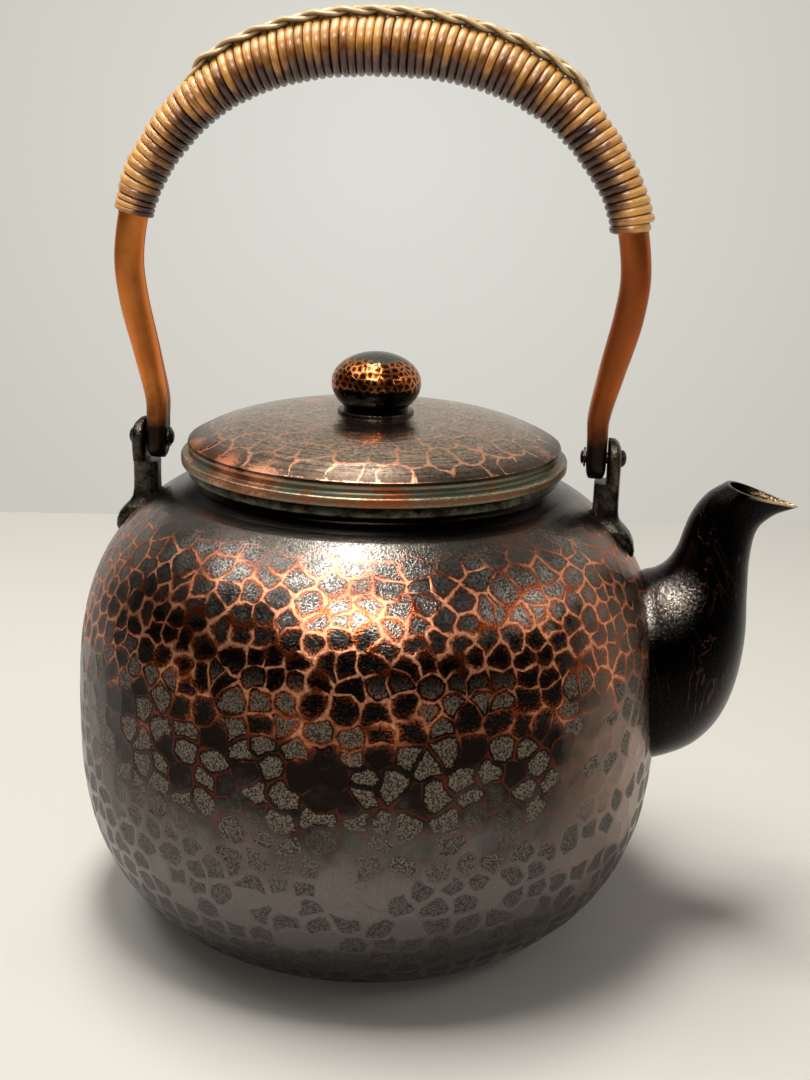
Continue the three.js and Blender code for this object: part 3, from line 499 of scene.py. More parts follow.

# %% [markdown]
# ## Brown patina of the lid
# The lid is handled more than the body and wiped in circles with a cloth, so its skin is browner and
# shinier. Towards its edge it is painted darker, a painted shade that dims the front lamp's gleam there.
# Its net is thin and patchy, and strongest in front. In a few places by the rim the patina is rubbed
# through to orange. Verdigris and wax have stayed in the cove, so the rim changes colour with height. The
# cloth's rings are really finer than a hair; they are drawn 0.7 mm apart, so that they show.

# %% Lid's patterns
lid_seat, lid_shoulder_rise = 150.9, 7.1
lid_finish, tree = new_material("hammered_copper_brown_patina")
where = add(tree, "TexCoord").outputs["Object"]
place = add(tree, "SeparateXYZ", {0: where}).outputs
height = place["Z"]
level_place = add(tree, "VectorMath", {0: where, 1: (1, 1, 0)}, operation="MULTIPLY")
from_middle = add(tree, "VectorMath", {0: level_place}, operation="LENGTH").outputs["Value"]
facing_out = add(tree, "VectorMath", {0: level_place}, operation="NORMALIZE")
wiped = add(tree, "VectorMath", {0: facing_out, "Scale": 4.0}, operation="SCALE")
wiped_round = add(tree, "SeparateXYZ", {0: wiped}).outputs
ring_count = add(tree, "Math", {0: from_middle, 1: scale_of(0.7)}, operation="MULTIPLY")
ring_place = add(tree, "CombineXYZ", {0: wiped_round["X"], 1: wiped_round["Y"], 2: ring_count})
wiping = add(tree, "TexNoise", {"Vector": ring_place, "Scale": 1.0, "Detail": 2})
patches = add(tree, "TexNoise", {"Vector": where, "Scale": scale_of(22), "Detail": 3, "Roughness": 0.6})
grain = add(tree, "TexNoise", {"Vector": where, "Scale": scale_of(1.2), "Detail": 3, "Roughness": 0.7})
on_dome = add(tree, "MapRange", {0: height, 1: 156.5 * MM, 2: 157.4 * MM})
print("lid's patterns", len(tree.nodes), "nodes")

# %% Lid's bare copper
# Each rubbed spot is a place in millimetres and how far the copper shows round it.
rubbed_spots = [((-40, -44, 158), 28), ((-28, -52, 158), 28), ((-54, -23, 158), 24), ((34, -19, 165), 22),
                ((13, -46, 162), 21), ((-15, -22, 166), 23), ((-22, 16, 166), 24), ((55, -14, 158), 24)]
spot_edge = 4
rubbed = add(tree, "MapRange", {0: patches, 1: 0.44, 2: 0.64})
to_edge = add(tree, "MapRange", {0: from_middle, 1: 30 * MM, 2: 50 * MM})
in_front = add(tree, "MapRange", {0: place["Y"], 1: -6 * MM, 2: -30 * MM})
to_edge = add(tree, "Math", {0: to_edge, 1: in_front}, operation="MULTIPLY")
rubbed = add(tree, "Math", {0: rubbed, 1: to_edge}, operation="MAXIMUM")
width = add(tree, "Math", {0: rubbed, 1: 0.4, 2: -0.28}, operation="MULTIPLY_ADD")
bare = worn_ridges(tree, where, width, swell=1.2, gap=0.36, ragged=1.4)
bare = add(tree, "Math", {0: bare, 1: on_dome}, operation="MULTIPLY")
for spot, reach in rubbed_spots:
    spot = [c * MM for c in spot]
    away = add(tree, "VectorMath", {0: where, 1: spot}, operation="DISTANCE").outputs["Value"]
    away = add(tree, "Math", {0: grain, 1: 20 * MM, 2: away}, operation="MULTIPLY_ADD")
    away = add(tree, "Math", {0: patches, 1: 20 * MM, 2: away}, operation="MULTIPLY_ADD")
    smear = add(tree, "MapRange", {0: away, 1: reach * MM, 2: (reach - spot_edge) * MM, 3: 0.0, 4: 0.75})
    bare = add(tree, "Math", {0: bare, 1: smear}, operation="MAXIMUM")
print("with its bare copper", len(tree.nodes), "nodes")

# %% Lid's dome and rim
rim_tints = [(0.12, "#4a4035"), (0.22, "#8a8672"), (0.34, "#7c5640"), (0.46, "#8c6a50"), (0.52, "#c4b896"),
             (0.56, "#7a7c69"), (0.68, "#6b7162"), (0.84, "#8b907c")]
rim_foot_tint, rim_top_tint = "#5a2a1c", "#8f8776"
mottled = add(tree, "Math", {0: wiping, 1: 0.5, 2: grain}, operation="MULTIPLY_ADD")
mottled = add(tree, "MapRange", {0: mottled, 1: 0.6, 2: 0.92})
brown = add(tree, "Mix", {0: mottled, 6: "#765c4b", 7: "#c9ab93"}, data_type="RGBA")
grey = add(tree, "Mix", {0: mottled, 6: "#72665b", 7: "#c2b3a4"}, data_type="RGBA")
dome_skin = add(tree, "Mix", {0: patches, 6: brown, 7: grey}, data_type="RGBA")
# Painted shade: the skin darkens towards the edge, and the same share roughens it, to dim the gleam there.
painted_edge_shade = add(tree, "MapRange", {0: from_middle, 1: 48 * MM, 2: 58 * MM, 3: 0.0, 4: 0.9})
dome_skin = add(tree, "Mix", {0: painted_edge_shade, 6: dome_skin, 7: "#33271f"}, data_type="RGBA")
up_rim = add(tree, "MapRange", {0: height, 1: lid_seat * MM, 2: (lid_seat + lid_shoulder_rise) * MM})
up_rim = add(tree, "Math", {0: grain, 1: 0.28, 2: up_rim}, operation="MULTIPLY_ADD")
rim_ramp = add(tree, "ValToRGB", {0: up_rim})
rim_stops = rim_ramp.color_ramp.elements
rim_stops[0].color, rim_stops[1].color = colour(rim_foot_tint), colour(rim_top_tint)
for share, tint in rim_tints:
    rim_stops.new(share).color = colour(tint)
rim_worn = add(tree, "Math", {0: grain, 1: 0.5, 2: patches}, operation="MULTIPLY_ADD")
rim_worn = add(tree, "MapRange", {0: rim_worn, 1: 0.76, 2: 0.86, 3: 0.0, 4: 0.7})
rim_skin = add(tree, "Mix", {0: rim_worn, 6: rim_ramp, 7: "#a4552a"}, data_type="RGBA")
print("with its skin", len(tree.nodes), "nodes")

# %% Lid's colours and relief
skin = add(tree, "Mix", {0: on_dome, 6: rim_skin, 7: dome_skin}, data_type="RGBA")
copper = add(tree, "Mix", {0: grain, 6: "#c8642e", 7: "#ffd0ac"}, data_type="RGBA")
base = add(tree, "Mix", {0: bare, 6: skin, 7: copper}, data_type="RGBA")
dull = add(tree, "MapRange", {0: wiping, 1: 0.3, 2: 0.7, 3: 0.17, 4: 0.27})
dull = add(tree, "Math", {0: painted_edge_shade, 1: 0.14, 2: dull}, operation="MULTIPLY_ADD")
dull = add(tree, "Mix", {0: on_dome, 2: 0.42, 3: dull})
relief = add(tree, "Math", {0: wiping, 1: grain}, operation="ADD")
bump = add(tree, "Bump", {"Height": relief, "Distance": 0.05 * MM})
shader = add(tree, "BsdfPrincipled", {"Base Color": base, "Metallic": 1.0, "Roughness": dull, "Normal": bump})
add(tree, "OutputMaterial", {"Surface": shader})
print("lid finish", len(tree.nodes), "nodes")

# %% [markdown]
# ## Net on the knob
# Fingers polish the upper half of the knob, so its tiny ridges are bare copper round dark pits, under a
# thin coat of wax. The very top has worn smooth and grey, and the lower half has kept its black.

# %% Knob finish
knob_finish, tree = new_material("hammered_copper_netted_knob")
where = add(tree, "TexCoord").outputs["Object"]
height = add(tree, "SeparateXYZ", {0: where}).outputs["Z"]
patches = add(tree, "TexNoise", {"Vector": where, "Scale": scale_of(6), "Detail": 2})
grain = add(tree, "TexNoise", {"Vector": where, "Scale": scale_of(0.5), "Detail": 2})
uneven = add(tree, "Math", {0: patches, 1: 6 * MM, 2: height}, operation="MULTIPLY_ADD")
over_black = add(tree, "MapRange", {0: uneven, 1: 178.2 * MM, 2: 180.2 * MM})
under_cap = add(tree, "MapRange", {0: uneven, 1: 187.6 * MM, 2: 186.6 * MM})
netted = add(tree, "Math", {0: over_black, 1: under_cap}, operation="MULTIPLY")
bare = worn_ridges(tree, where, 0.13, swell=0.5, gap=0.34, ragged=0.6)
bare = add(tree, "Math", {0: bare, 1: netted}, operation="MULTIPLY")
copper = add(tree, "Mix", {0: grain, 6: "#b4541f", 7: "#f6a25c"}, data_type="RGBA")
pit = add(tree, "Mix", {0: netted, 6: "#0c0b0a", 7: "#42200f"}, data_type="RGBA")
cap = add(tree, "MapRange", {0: uneven, 1: 186.6 * MM, 2: 187.4 * MM})
skin = add(tree, "Mix", {0: cap, 6: pit, 7: "#5e5e54"}, data_type="RGBA")
base = add(tree, "Mix", {0: bare, 6: skin, 7: copper}, data_type="RGBA")
bump = add(tree, "Bump", {"Height": grain, "Distance": 0.03 * MM})
shader = add(tree, "BsdfPrincipled", {"Base Color": base, "Metallic": 1.0, "Roughness": 0.22,
                                      "Coat Weight": 0.12, "Coat Roughness": 0.12, "Normal": bump})
add(tree, "OutputMaterial", {"Surface": shader})
print("knob finish", len(tree.nodes), "nodes")

# %% [markdown]
# ## Black skin of the spout
# The spout is nearly black and glossy, with small sparks where the skin is grained. A lighter grey patch
# on its root is a painted highlight. Where the sheet was bent over, the skin has crept into fine upright
# wrinkles with a little red copper in them. The wrinkles are the lines where a stretched noise crosses
# its middle value. The inside of the lip is rubbed to a pale gold by wiping off drops. The grain is
# really about 0.3 mm; it is drawn at 0.8 mm, so that it shows.

# %% Spout's skin and wrinkles
spout_finish, tree = new_material("black_patina_with_wrinkles")
root_highlight_place = (95, -20, 118)
where = add(tree, "TexCoord").outputs["Object"]
stretched = add(tree, "VectorMath", {0: where, 1: (1, 1, 0.3)}, operation="MULTIPLY")
folds = add(tree, "TexNoise", {"Vector": stretched, "Scale": scale_of(7), "Detail": 3, "Distortion": 0.8})
grain = add(tree, "TexNoise", {"Vector": where, "Scale": scale_of(0.8), "Detail": 3, "Roughness": 0.7})
patches = add(tree, "TexNoise", {"Vector": where, "Scale": scale_of(14), "Detail": 2})
crossing = add(tree, "Math", {0: folds, 1: 0.5}, operation="SUBTRACT")
crossing = add(tree, "Math", {0: crossing}, operation="ABSOLUTE")
wrinkle = add(tree, "MapRange", {0: crossing, 1: 0.012, 2: 0.003, 3: 0.0, 4: 1.0})
kept = add(tree, "MapRange", {0: patches, 1: 0.42, 2: 0.58})
wrinkle = add(tree, "Math", {0: wrinkle, 1: kept}, operation="MULTIPLY")
sparks = add(tree, "MapRange", {0: grain, 1: 0.45, 2: 0.68})
dark = add(tree, "Mix", {0: sparks, 6: "#050404", 7: "#161412"}, data_type="RGBA")
# Painted highlight: round this place on the root the skin turns a lighter grey.
root = [c * MM for c in root_highlight_place]
from_root = add(tree, "VectorMath", {0: where, 1: root}, operation="DISTANCE").outputs["Value"]
from_root = add(tree, "Math", {0: patches, 1: 12 * MM, 2: from_root}, operation="MULTIPLY_ADD")
painted_root_highlight = add(tree, "MapRange", {0: from_root, 1: 22 * MM, 2: 10 * MM}, interpolation_type="SMOOTHSTEP")
root_highlight_tint = add(tree, "Mix", {0: sparks, 6: "#4a453f", 7: "#aaa39a"}, data_type="RGBA")
print("spout's skin", len(tree.nodes), "nodes")

# %% Spout's lip, colours and relief
lip = add(tree, "Attribute", attribute_name="lip").outputs["Fac"]
uneven = add(tree, "Math", {0: grain, 1: 2.0, 2: lip}, operation="MULTIPLY_ADD")
rubbed = add(tree, "MapRange", {0: uneven, 1: 2.4, 2: 1.6})
far_out = add(tree, "SeparateXYZ", {0: where}).outputs["X"]
at_tip = add(tree, "MapRange", {0: far_out, 1: 118 * MM, 2: 126 * MM})
rubbed = add(tree, "Math", {0: rubbed, 1: at_tip}, operation="MULTIPLY")
base = dark
for share, layer in ((painted_root_highlight, root_highlight_tint), (wrinkle, "#42201a"), (rubbed, "#c9ae86")):
    base = add(tree, "Mix", {0: share, 6: base, 7: layer}, data_type="RGBA")
dull = add(tree, "MapRange", {0: grain, 1: 0.3, 2: 0.7, 3: 0.16, 4: 0.28})
relief = add(tree, "Math", {0: wrinkle, 1: 0.6, 2: grain}, operation="MULTIPLY_ADD")
bump = add(tree, "Bump", {"Height": relief, "Distance": 0.18 * MM})
shader = add(tree, "BsdfPrincipled", {"Base Color": base, "Metallic": 1.0, "Roughness": dull,
                                      "Coat Weight": 0.05, "Coat Roughness": 0.2, "Normal": bump})
add(tree, "OutputMaterial", {"Surface": shader})
print("spout finish", len(tree.nodes), "nodes")

# %% [markdown]
# ## Cane
# Cane is a bundle of straight fibres under a hard, varnished skin. So its grain runs along the strand,
# and it has the strand's own coordinates: millimetres along it and its way round. The winding has
# darkened with oil from hands, each turn differently. The outer side of each turn is painted paler, a
# painted sheen, and its inner side darker, partly oil and partly painted shade. The grooves between turns
# and the undersides of the braid's splits are darker, partly grime and partly painted shade. Real fibres
# are about 0.1 mm wide; they are drawn several times as wide, so that they show.

# %% Cane's fibres and stains
strand_middle = 2.28
whole_groove = 0.9


def cane_patterns(tree):
    """How pale the stain is, with a painted sheen, and how far oil darkens the cane, with painted shade, 0 to
    1, its fibres, and its place across the strand. Each turn has a random tone, which clouds and fibres
    shift;
    the outer side of a turn is painted paler and its inner side darker, as painted light and shade."""
    along, across, turn = (add(tree, "Attribute", attribute_name=name).outputs["Fac"]
                           for name in ("pattern_u", "pattern_v", "turn"))
    slow = add(tree, "Math", {0: along, 1: 0.16}, operation="MULTIPLY")
    quick = add(tree, "Math", {0: across, 1: 9.0}, operation="MULTIPLY")
    fibre_place = add(tree, "CombineXYZ", {0: slow, 1: quick, 2: turn})
    fibres = add(tree, "TexNoise", {"Vector": fibre_place, "Scale": 1.0, "Detail": 3, "Roughness": 0.6})
    number = add(tree, "Math", {0: turn, 1: 0.5}, operation="ADD")
    number = add(tree, "Math", {0: number}, operation="FLOOR")
    each = add(tree, "TexWhiteNoise", {"W": number}, noise_dimensions="1D")
    whole_turn = add(tree, "Math", {0: turn, 1: TURN}, operation="MULTIPLY")
    # Painted light and shade: the outer side of each turn is made paler and its inner side darker.
    outer_side_light_and_oil = add(tree, "Math", {0: whole_turn}, operation="COSINE")
    where = add(tree, "TexCoord").outputs["Object"]
    clouds = add(tree, "TexNoise", {"Vector": where, "Scale": scale_of(9), "Detail": 3, "Roughness": 0.65})
    oil_and_painted_shade = add(tree, "Math", {0: each, 1: 0.6, 2: outer_side_light_and_oil}, operation="MULTIPLY_ADD")
    oil_and_painted_shade = add(tree, "Math", {0: clouds, 1: 1.6, 2: oil_and_painted_shade}, operation="MULTIPLY_ADD")
    oil_and_painted_shade = add(tree, "MapRange", {0: oil_and_painted_shade, 1: 1.5, 2: 0.35}, interpolation_type="SMOOTHSTEP")
    stain_and_painted_sheen = fibres
    for pattern, strength in ((each, 0.3), (clouds, 0.9), (outer_side_light_and_oil, 0.3)):
        stain_and_painted_sheen = add(tree, "Math", {0: pattern, 1: strength, 2: stain_and_painted_sheen}, operation="MULTIPLY_ADD")
    stain_and_painted_sheen = add(tree, "MapRange", {0: stain_and_painted_sheen, 1: 0.85, 2: 1.4})
    return stain_and_painted_sheen, oil_and_painted_shade, fibres, across


# %% Cane finishes
def cane(name, pale, golden, oil_and_shade_tint, groove_from, groove_to):
    """Cane with fibres along the strand, darker in the groove, which lies between two distances from the
    strand's middle: partly grime and partly painted shade."""
    material, tree = new_material(name)
    stain_and_painted_sheen, oil_and_painted_shade, fibres, across = cane_patterns(tree)
    tone = add(tree, "Mix", {0: stain_and_painted_sheen, 6: golden, 7: pale}, data_type="RGBA")
    tone = add(tree, "Mix", {0: oil_and_painted_shade, 6: tone, 7: oil_and_shade_tint}, data_type="RGBA")
    # Painted shade with some grime: darker away from the strand's middle, between turns and under the splits.
    off_middle = add(tree, "Math", {0: across, 1: strand_middle}, operation="SUBTRACT")
    off_middle = add(tree, "Math", {0: off_middle}, operation="ABSOLUTE")
    groove = add(tree, "MapRange", {0: off_middle, 1: groove_from, 2: groove_to, 3: 0.0, 4: whole_groove})
    tone = add(tree, "Mix", {0: groove, 6: tone, 7: "#241309"}, data_type="RGBA")
    bump = add(tree, "Bump", {"Height": fibres, "Distance": 0.2 * MM})
    shader = add(tree, "BsdfPrincipled", {"Base Color": tone, "Roughness": 0.3, "Coat Weight": 0.8,
                                          "Coat Roughness": 0.26, "Normal": bump})
    add(tree, "OutputMaterial", {"Surface": shader})
    print(name, len(tree.nodes), "nodes")
    return material


rattan_finish = cane("oiled_cane_with_painted_light_and_shade", pale="#f8b862", golden="#a05416", oil_and_shade_tint="#381a08",
                     groove_from=0.42, groove_to=0.74)
braid_finish = cane("pale_cane", pale="#e8c890", golden="#b08044", oil_and_shade_tint="#603818",
                    groove_from=0.9, groove_to=1.8)

# %% [markdown]
# ## Rubbed copper tube
# Hands keep the bail's tube bright and smooth on the left, and the right leg has gone a deep red-brown.
# Its pinched ends and the seam, where hands do not reach, have gone dark.

# %% Tube finish
tube_finish, tree = new_material("rubbed_copper_tube")
where = add(tree, "TexCoord").outputs["Object"]
place = add(tree, "SeparateXYZ", {0: where}).outputs
seam = add(tree, "Attribute", attribute_name="seam").outputs["Fac"]
patches = add(tree, "TexNoise", {"Vector": where, "Scale": scale_of(16), "Detail": 4, "Roughness": 0.65})
grain = add(tree, "TexNoise", {"Vector": where, "Scale": scale_of(0.9), "Detail": 2})
to_right = add(tree, "Math", {0: patches, 1: 120 * MM, 2: place["X"]}, operation="MULTIPLY_ADD")
darker = add(tree, "MapRange", {0: to_right, 1: 60 * MM, 2: 160 * MM})
bright = add(tree, "Mix", {0: patches, 6: "#e8641c", 7: "#ffae5a"}, data_type="RGBA")
deep = add(tree, "Mix", {0: patches, 6: "#7a2f16", 7: "#cc6c38"}, data_type="RGBA")
low = add(tree, "Math", {0: patches, 1: 20 * MM, 2: place["Z"]}, operation="MULTIPLY_ADD")
pinched = add(tree, "MapRange", {0: low, 1: 186 * MM, 2: 170 * MM, 3: 0.0, 4: 1.0})
blackened = add(tree, "Math", {0: seam, 1: pinched}, operation="MAXIMUM")
base = add(tree, "Mix", {0: darker, 6: bright, 7: deep}, data_type="RGBA")
base = add(tree, "Mix", {0: blackened, 6: base, 7: "#2c211a"}, data_type="RGBA")
dull = add(tree, "MapRange", {0: patches, 1: 0.3, 2: 0.7, 3: 0.3, 4: 0.44})
bump = add(tree, "Bump", {"Height": grain, "Distance": 0.05 * MM})
shader = add(tree, "BsdfPrincipled", {"Base Color": base, "Metallic": 0.93, "Roughness": dull,
                                      "Normal": bump})
add(tree, "OutputMaterial", {"Surface": shader})
print("tube finish", len(tree.nodes), "nodes")

# %% [markdown]
# ## Dark metal
# The ears and rivets are cast bronze with a dark, cloudy skin. The mouth's ring is bronze-coloured under
# old wax, the disc under the knob is painted a darker brown than the lid's skin, a painted shade under the
# knob, and the collar is plain copper sheet. They differ in colour, gloss and the size of the clouds, so
# one function makes all four.

# %% Dark metal finishes
def dark_metal(name, shade, light, cloud_size, roughness):
    """Metal with a cloudy skin between two colours and a fine cast or scaled grain."""
    material, tree = new_material(name)
    where = add(tree, "TexCoord").outputs["Object"]
    clouds = add(tree, "TexNoise", {"Vector": where, "Scale": scale_of(cloud_size), "Detail": 4,
                                    "Roughness": 0.7})
    grain = add(tree, "TexNoise", {"Vector": where, "Scale": scale_of(0.6), "Detail": 2})
    share = add(tree, "MapRange", {0: clouds, 1: 0.38, 2: 0.66})
    base = add(tree, "Mix", {0: share, 6: shade, 7: light}, data_type="RGBA")
    dull = add(tree, "MapRange", {0: grain, 1: 0.3, 2: 0.7, 3: roughness - 0.08, 4: roughness + 0.1})
    relief = add(tree, "Math", {0: clouds, 1: 2.0, 2: grain}, operation="MULTIPLY_ADD")
    bump = add(tree, "Bump", {"Height": relief, "Distance": 0.12 * MM})
    shader = add(tree, "BsdfPrincipled", {"Base Color": base, "Metallic": 1.0, "Roughness": dull,
                                          "Normal": bump})
    add(tree, "OutputMaterial", {"Surface": shader})
    return material


bronze_finish = dark_metal("cast_bronze", "#211e1b", "#5c554a", cloud_size=5, roughness=0.34)
ring_finish = dark_metal("waxed_rim", "#2a231d", "#6c6a58", cloud_size=4, roughness=0.36)
# Painted shade: the seat under the knob is a darker brown than the lid's skin.
seat_painted_shade_finish = dark_metal("dark_brown_seat_with_painted_shade", "#2b231d", "#5e5348", cloud_size=4, roughness=0.28)
collar_finish = dark_metal("plain_copper_sheet", "#6e3117", "#bd6a3c", cloud_size=9, roughness=0.4)
print(len(bpy.data.materials), "materials")

# %% [markdown]
# ## Vessel
# The vessel is raised from one sheet of copper over stakes and then planished: a smith walks round it
# blow by blow, in rows, and every blow leaves a shallow dish with a ridge round it. Painting that on
# with a texture would leave the outline smooth, so the dishes are real here. The blows are points on
# the unrolled wall. The borders between them are found as the smith makes them: each spot belongs to
# the blow that lies nearest to it.

# %% Outline of the vessel
body_radius = 95
belly_height = 69.6
lower_fullness, upper_fullness = 2.7, 2.89
base_radius, base_corner, base_edge = 58, 63.7, 3
shoulder_radius, shoulder_height = 64.9, 141.7
neck_radius, neck_foot, fillet_top, neck_top = 57.5, 144.8, 147.2, 150.6
body_wall = 1.6
wall_steps = 240


def quarter_depth(rise, radius, fullness):
    """Depth of the superellipse quarter that narrows from the belly to a radius over a rise."""
    return rise / (1 - (radius / body_radius) ** fullness) ** (1 / fullness)


lower_depth = quarter_depth(belly_height, base_corner, lower_fullness)
upper_depth = quarter_depth(shoulder_height - belly_height, shoulder_radius, upper_fullness)


def vessel_radius(height):
    """Radius of the vessel's outside: two superellipse halves that meet at the belly."""
    rise = np.asarray(height, float) - belly_height
    depth = np.where(rise > 0, upper_depth, lower_depth)
    power = np.where(rise > 0, upper_fullness, lower_fullness)
    return body_radius * (1 - np.clip(np.abs(rise / depth), 0, 1) ** power) ** (1 / power)


wall_middle, wall_half = (base_edge + shoulder_height) / 2, (shoulder_height - base_edge) / 2
wall_heights = wall_middle - wall_half * np.cos(np.linspace(0, math.pi, wall_steps))
wall_outline = np.stack([vessel_radius(wall_heights), wall_heights], 1)
print("vessel", 2 * body_radius, "mm across, neck top at", neck_top, "mm")

# %% [markdown]
# The unrolled wall keeps the shape of small things if its height is stretched by one over the radius,
# as on a sea chart. Blows are set there in staggered rows and shaken a little. Copies of the blows
# round the seam and mirrored ones past both edges make the borders run through the seam and end
# exactly on the edges.

# %% Rows of blows
row_drift, edge_room = 0.18, 0.3


def blow_rows(radius, run, across, along, shake, random):
    """Turn angle and chart height of each blow. across and along are the blow's sizes down the run."""
    chart = np.concatenate([[0], np.cumsum(np.diff(run) / ((radius[1:] + radius[:-1]) / 2))])
    filled = np.concatenate([[0], np.cumsum(np.diff(run) / ((along[1:] + along[:-1]) / 2))])
    rows = round(filled[-1])
    at = (np.arange(rows) + 0.5) * filled[-1] / rows
    angles, heights = [], []
    for row, place in enumerate(at):
        round_it = np.interp(place, filled, radius)
        count = max(6, round(TURN * round_it / np.interp(place, filled, across)))
        step = TURN / count
        drift = random.uniform(-row_drift, row_drift)
        angle = (np.arange(count) + (row % 2) / 2 + drift) * step + random.normal(0, shake * step, count)
        size = np.interp(place, filled, along) / round_it
        height = np.interp(place, filled, chart) + random.normal(0, shake * size, count)
        edge = edge_room * size
        angles.append(angle % TURN)
        heights.append(np.clip(height, edge, chart[-1] - edge))
    return np.concatenate(angles), np.concatenate(heights), chart


print("rows of blows drift by up to", row_drift, "of a blow")

# %% [markdown]
# Three neighbouring blows share a corner of their borders. It is the centre of the circle through the
# three, because that lies equally far from all. So a Delaunay net of the blows gives all the corners, and
# sorting each blow's corners by their direction gives its border. A wedge is a blow with one stretch of it.

# %% Borders between blows
def circle_centres(a, b, c):
    """Centres of the circles through three points each."""
    ab, ac = b - a, c - a
    twice = 2 * (ab[:, 0] * ac[:, 1] - ab[:, 1] * ac[:, 0])
    ab2, ac2 = (ab ** 2).sum(1), (ac ** 2).sum(1)
    aside, up = ac[:, 1] * ab2 - ab[:, 1] * ac2, ab[:, 0] * ac2 - ac[:, 0] * ab2
    return a + np.stack([aside, up], 1) / twice[:, None]


def border_wedges(angle, height, top):
    """Three arrays of points on the chart: each wedge's blow, and the two ends of its stretch of border.
    The first array that is returned says which blow a wedge belongs to."""
    real = np.stack([angle, height], 1)
    seam = np.concatenate([real, real[angle < 1] + [TURN, 0], real[angle > TURN - 1] - [TURN, 0]])
    sites = np.concatenate([seam, seam * [1, -1], seam * [1, -1] + [0, 2 * top]])
    inside = (sites[:, 1] > -0.5) & (sites[:, 1] < top + 0.5)
    sites = np.concatenate([real, sites[len(real):][inside[len(real):]]])
    faces = np.array(delaunay_2d_cdt([Vector(p) for p in sites], [], [], 0, 1e-9)[2])
    centre = circle_centres(*(sites[faces[:, k]] for k in range(3)))
    owner, corner = faces.ravel(), np.repeat(np.arange(len(faces)), 3)
    own = owner < len(real)
    owner, corner = owner[own], corner[own]
    spoke = centre[corner] - real[owner]
    order = np.lexsort((np.arctan2(spoke[:, 1], spoke[:, 0]), owner))
    owner, corner = owner[order], corner[order]
    starts, counts = np.unique(owner, return_index=True, return_counts=True)[1:]
    following = np.arange(len(owner)) + 1
    following[starts + counts - 1] = starts
    return owner, real[owner], centre[corner], centre[corner[following]]


three_points = np.array([[[0, 0]], [[2, 0]], [[0, 2]]])
print("the circle through (0, 0), (2, 0) and (0, 2) has its centre at", circle_centres(*three_points)[0])

# %% [markdown]
# A wedge becomes a fan of rings from its blow out to its border, with the border's middle point swayed a
# little to one side, because a hammered ridge is never straight. Each point also learns how far it is
# from the nearest ridge, for the finish.

# %% Shape of one wedge
ring_shares = np.array([0, 0.45, 0.75, 0.92, 1.0])
border_shares = np.array([0, 0.5, 1.0])
sway_waves, sway_ease = ((53, 71), (90, 121)), 0.05
corner_pull = 0.66


def wavy_borders(first, last, top, wobble):
    """Each wedge's border: its two ends, and its middle swayed by wobble times its length. The sway is a
    sine and a cosine with whole numbers of waves round the wall, and it eases out at the edges."""
    t = border_shares[None, None, :, None]
    border = first[:, None, None] * (1 - t) + last[:, None, None] * t
    length = np.hypot(*(last - first).T)
    away = np.minimum(border[..., 1], top - border[..., 1])
    sway = wobble * length[:, None, None] * (t[..., 0] == 0.5) * smooth(away / sway_ease)
    one_way, other_way = (a * border[..., 0] + b * border[..., 1] for a, b in sway_waves)
    return border + sway[..., None] * np.stack([np.sin(one_way), np.cos(other_way)], -1)


def ridge_distances(blow, first, last, share, knot):
    """Distance to the ridge on the chart: the blow's own distance from its border, times one minus the
    share of the way there. Near a corner knot takes a share off, so that three lines meet broadly."""
    side, span = last - first, np.hypot(*(last - first).T)
    to_first, to_last = np.hypot(*(first - blow).T), np.hypot(*(last - blow).T)
    twice_area = np.abs(side[:, 0] * (blow - first)[:, 1] - side[:, 1] * (blow - first)[:, 0])
    # A few borders along the wall's edges have no length, and the division gives not a number there
    off = twice_area / span
    reach = np.stack([corner_pull * to_first, off, corner_pull * to_last], 1)[:, None, :]
    broad = np.stack([knot * to_first, 0 * off, knot * to_last], 1)[:, None, :]
    return (1 - share) * reach - share ** 2 * broad


def edge_angles(border, level):
    """The angles at which borders end on an edge of the wall, in order, each once."""
    on_edge = np.abs(border[..., 1] - level) < 1e-7
    edge = np.sort(np.round(border[..., 0][on_edge] % TURN, 9))
    edge = edge[np.concatenate([[True], np.diff(edge) > 1e-6])]
    return edge[:-1] if TURN - edge[-1] + edge[0] < 1e-6 else edge


print("a wedge has", len(ring_shares) * len(border_shares), "points")


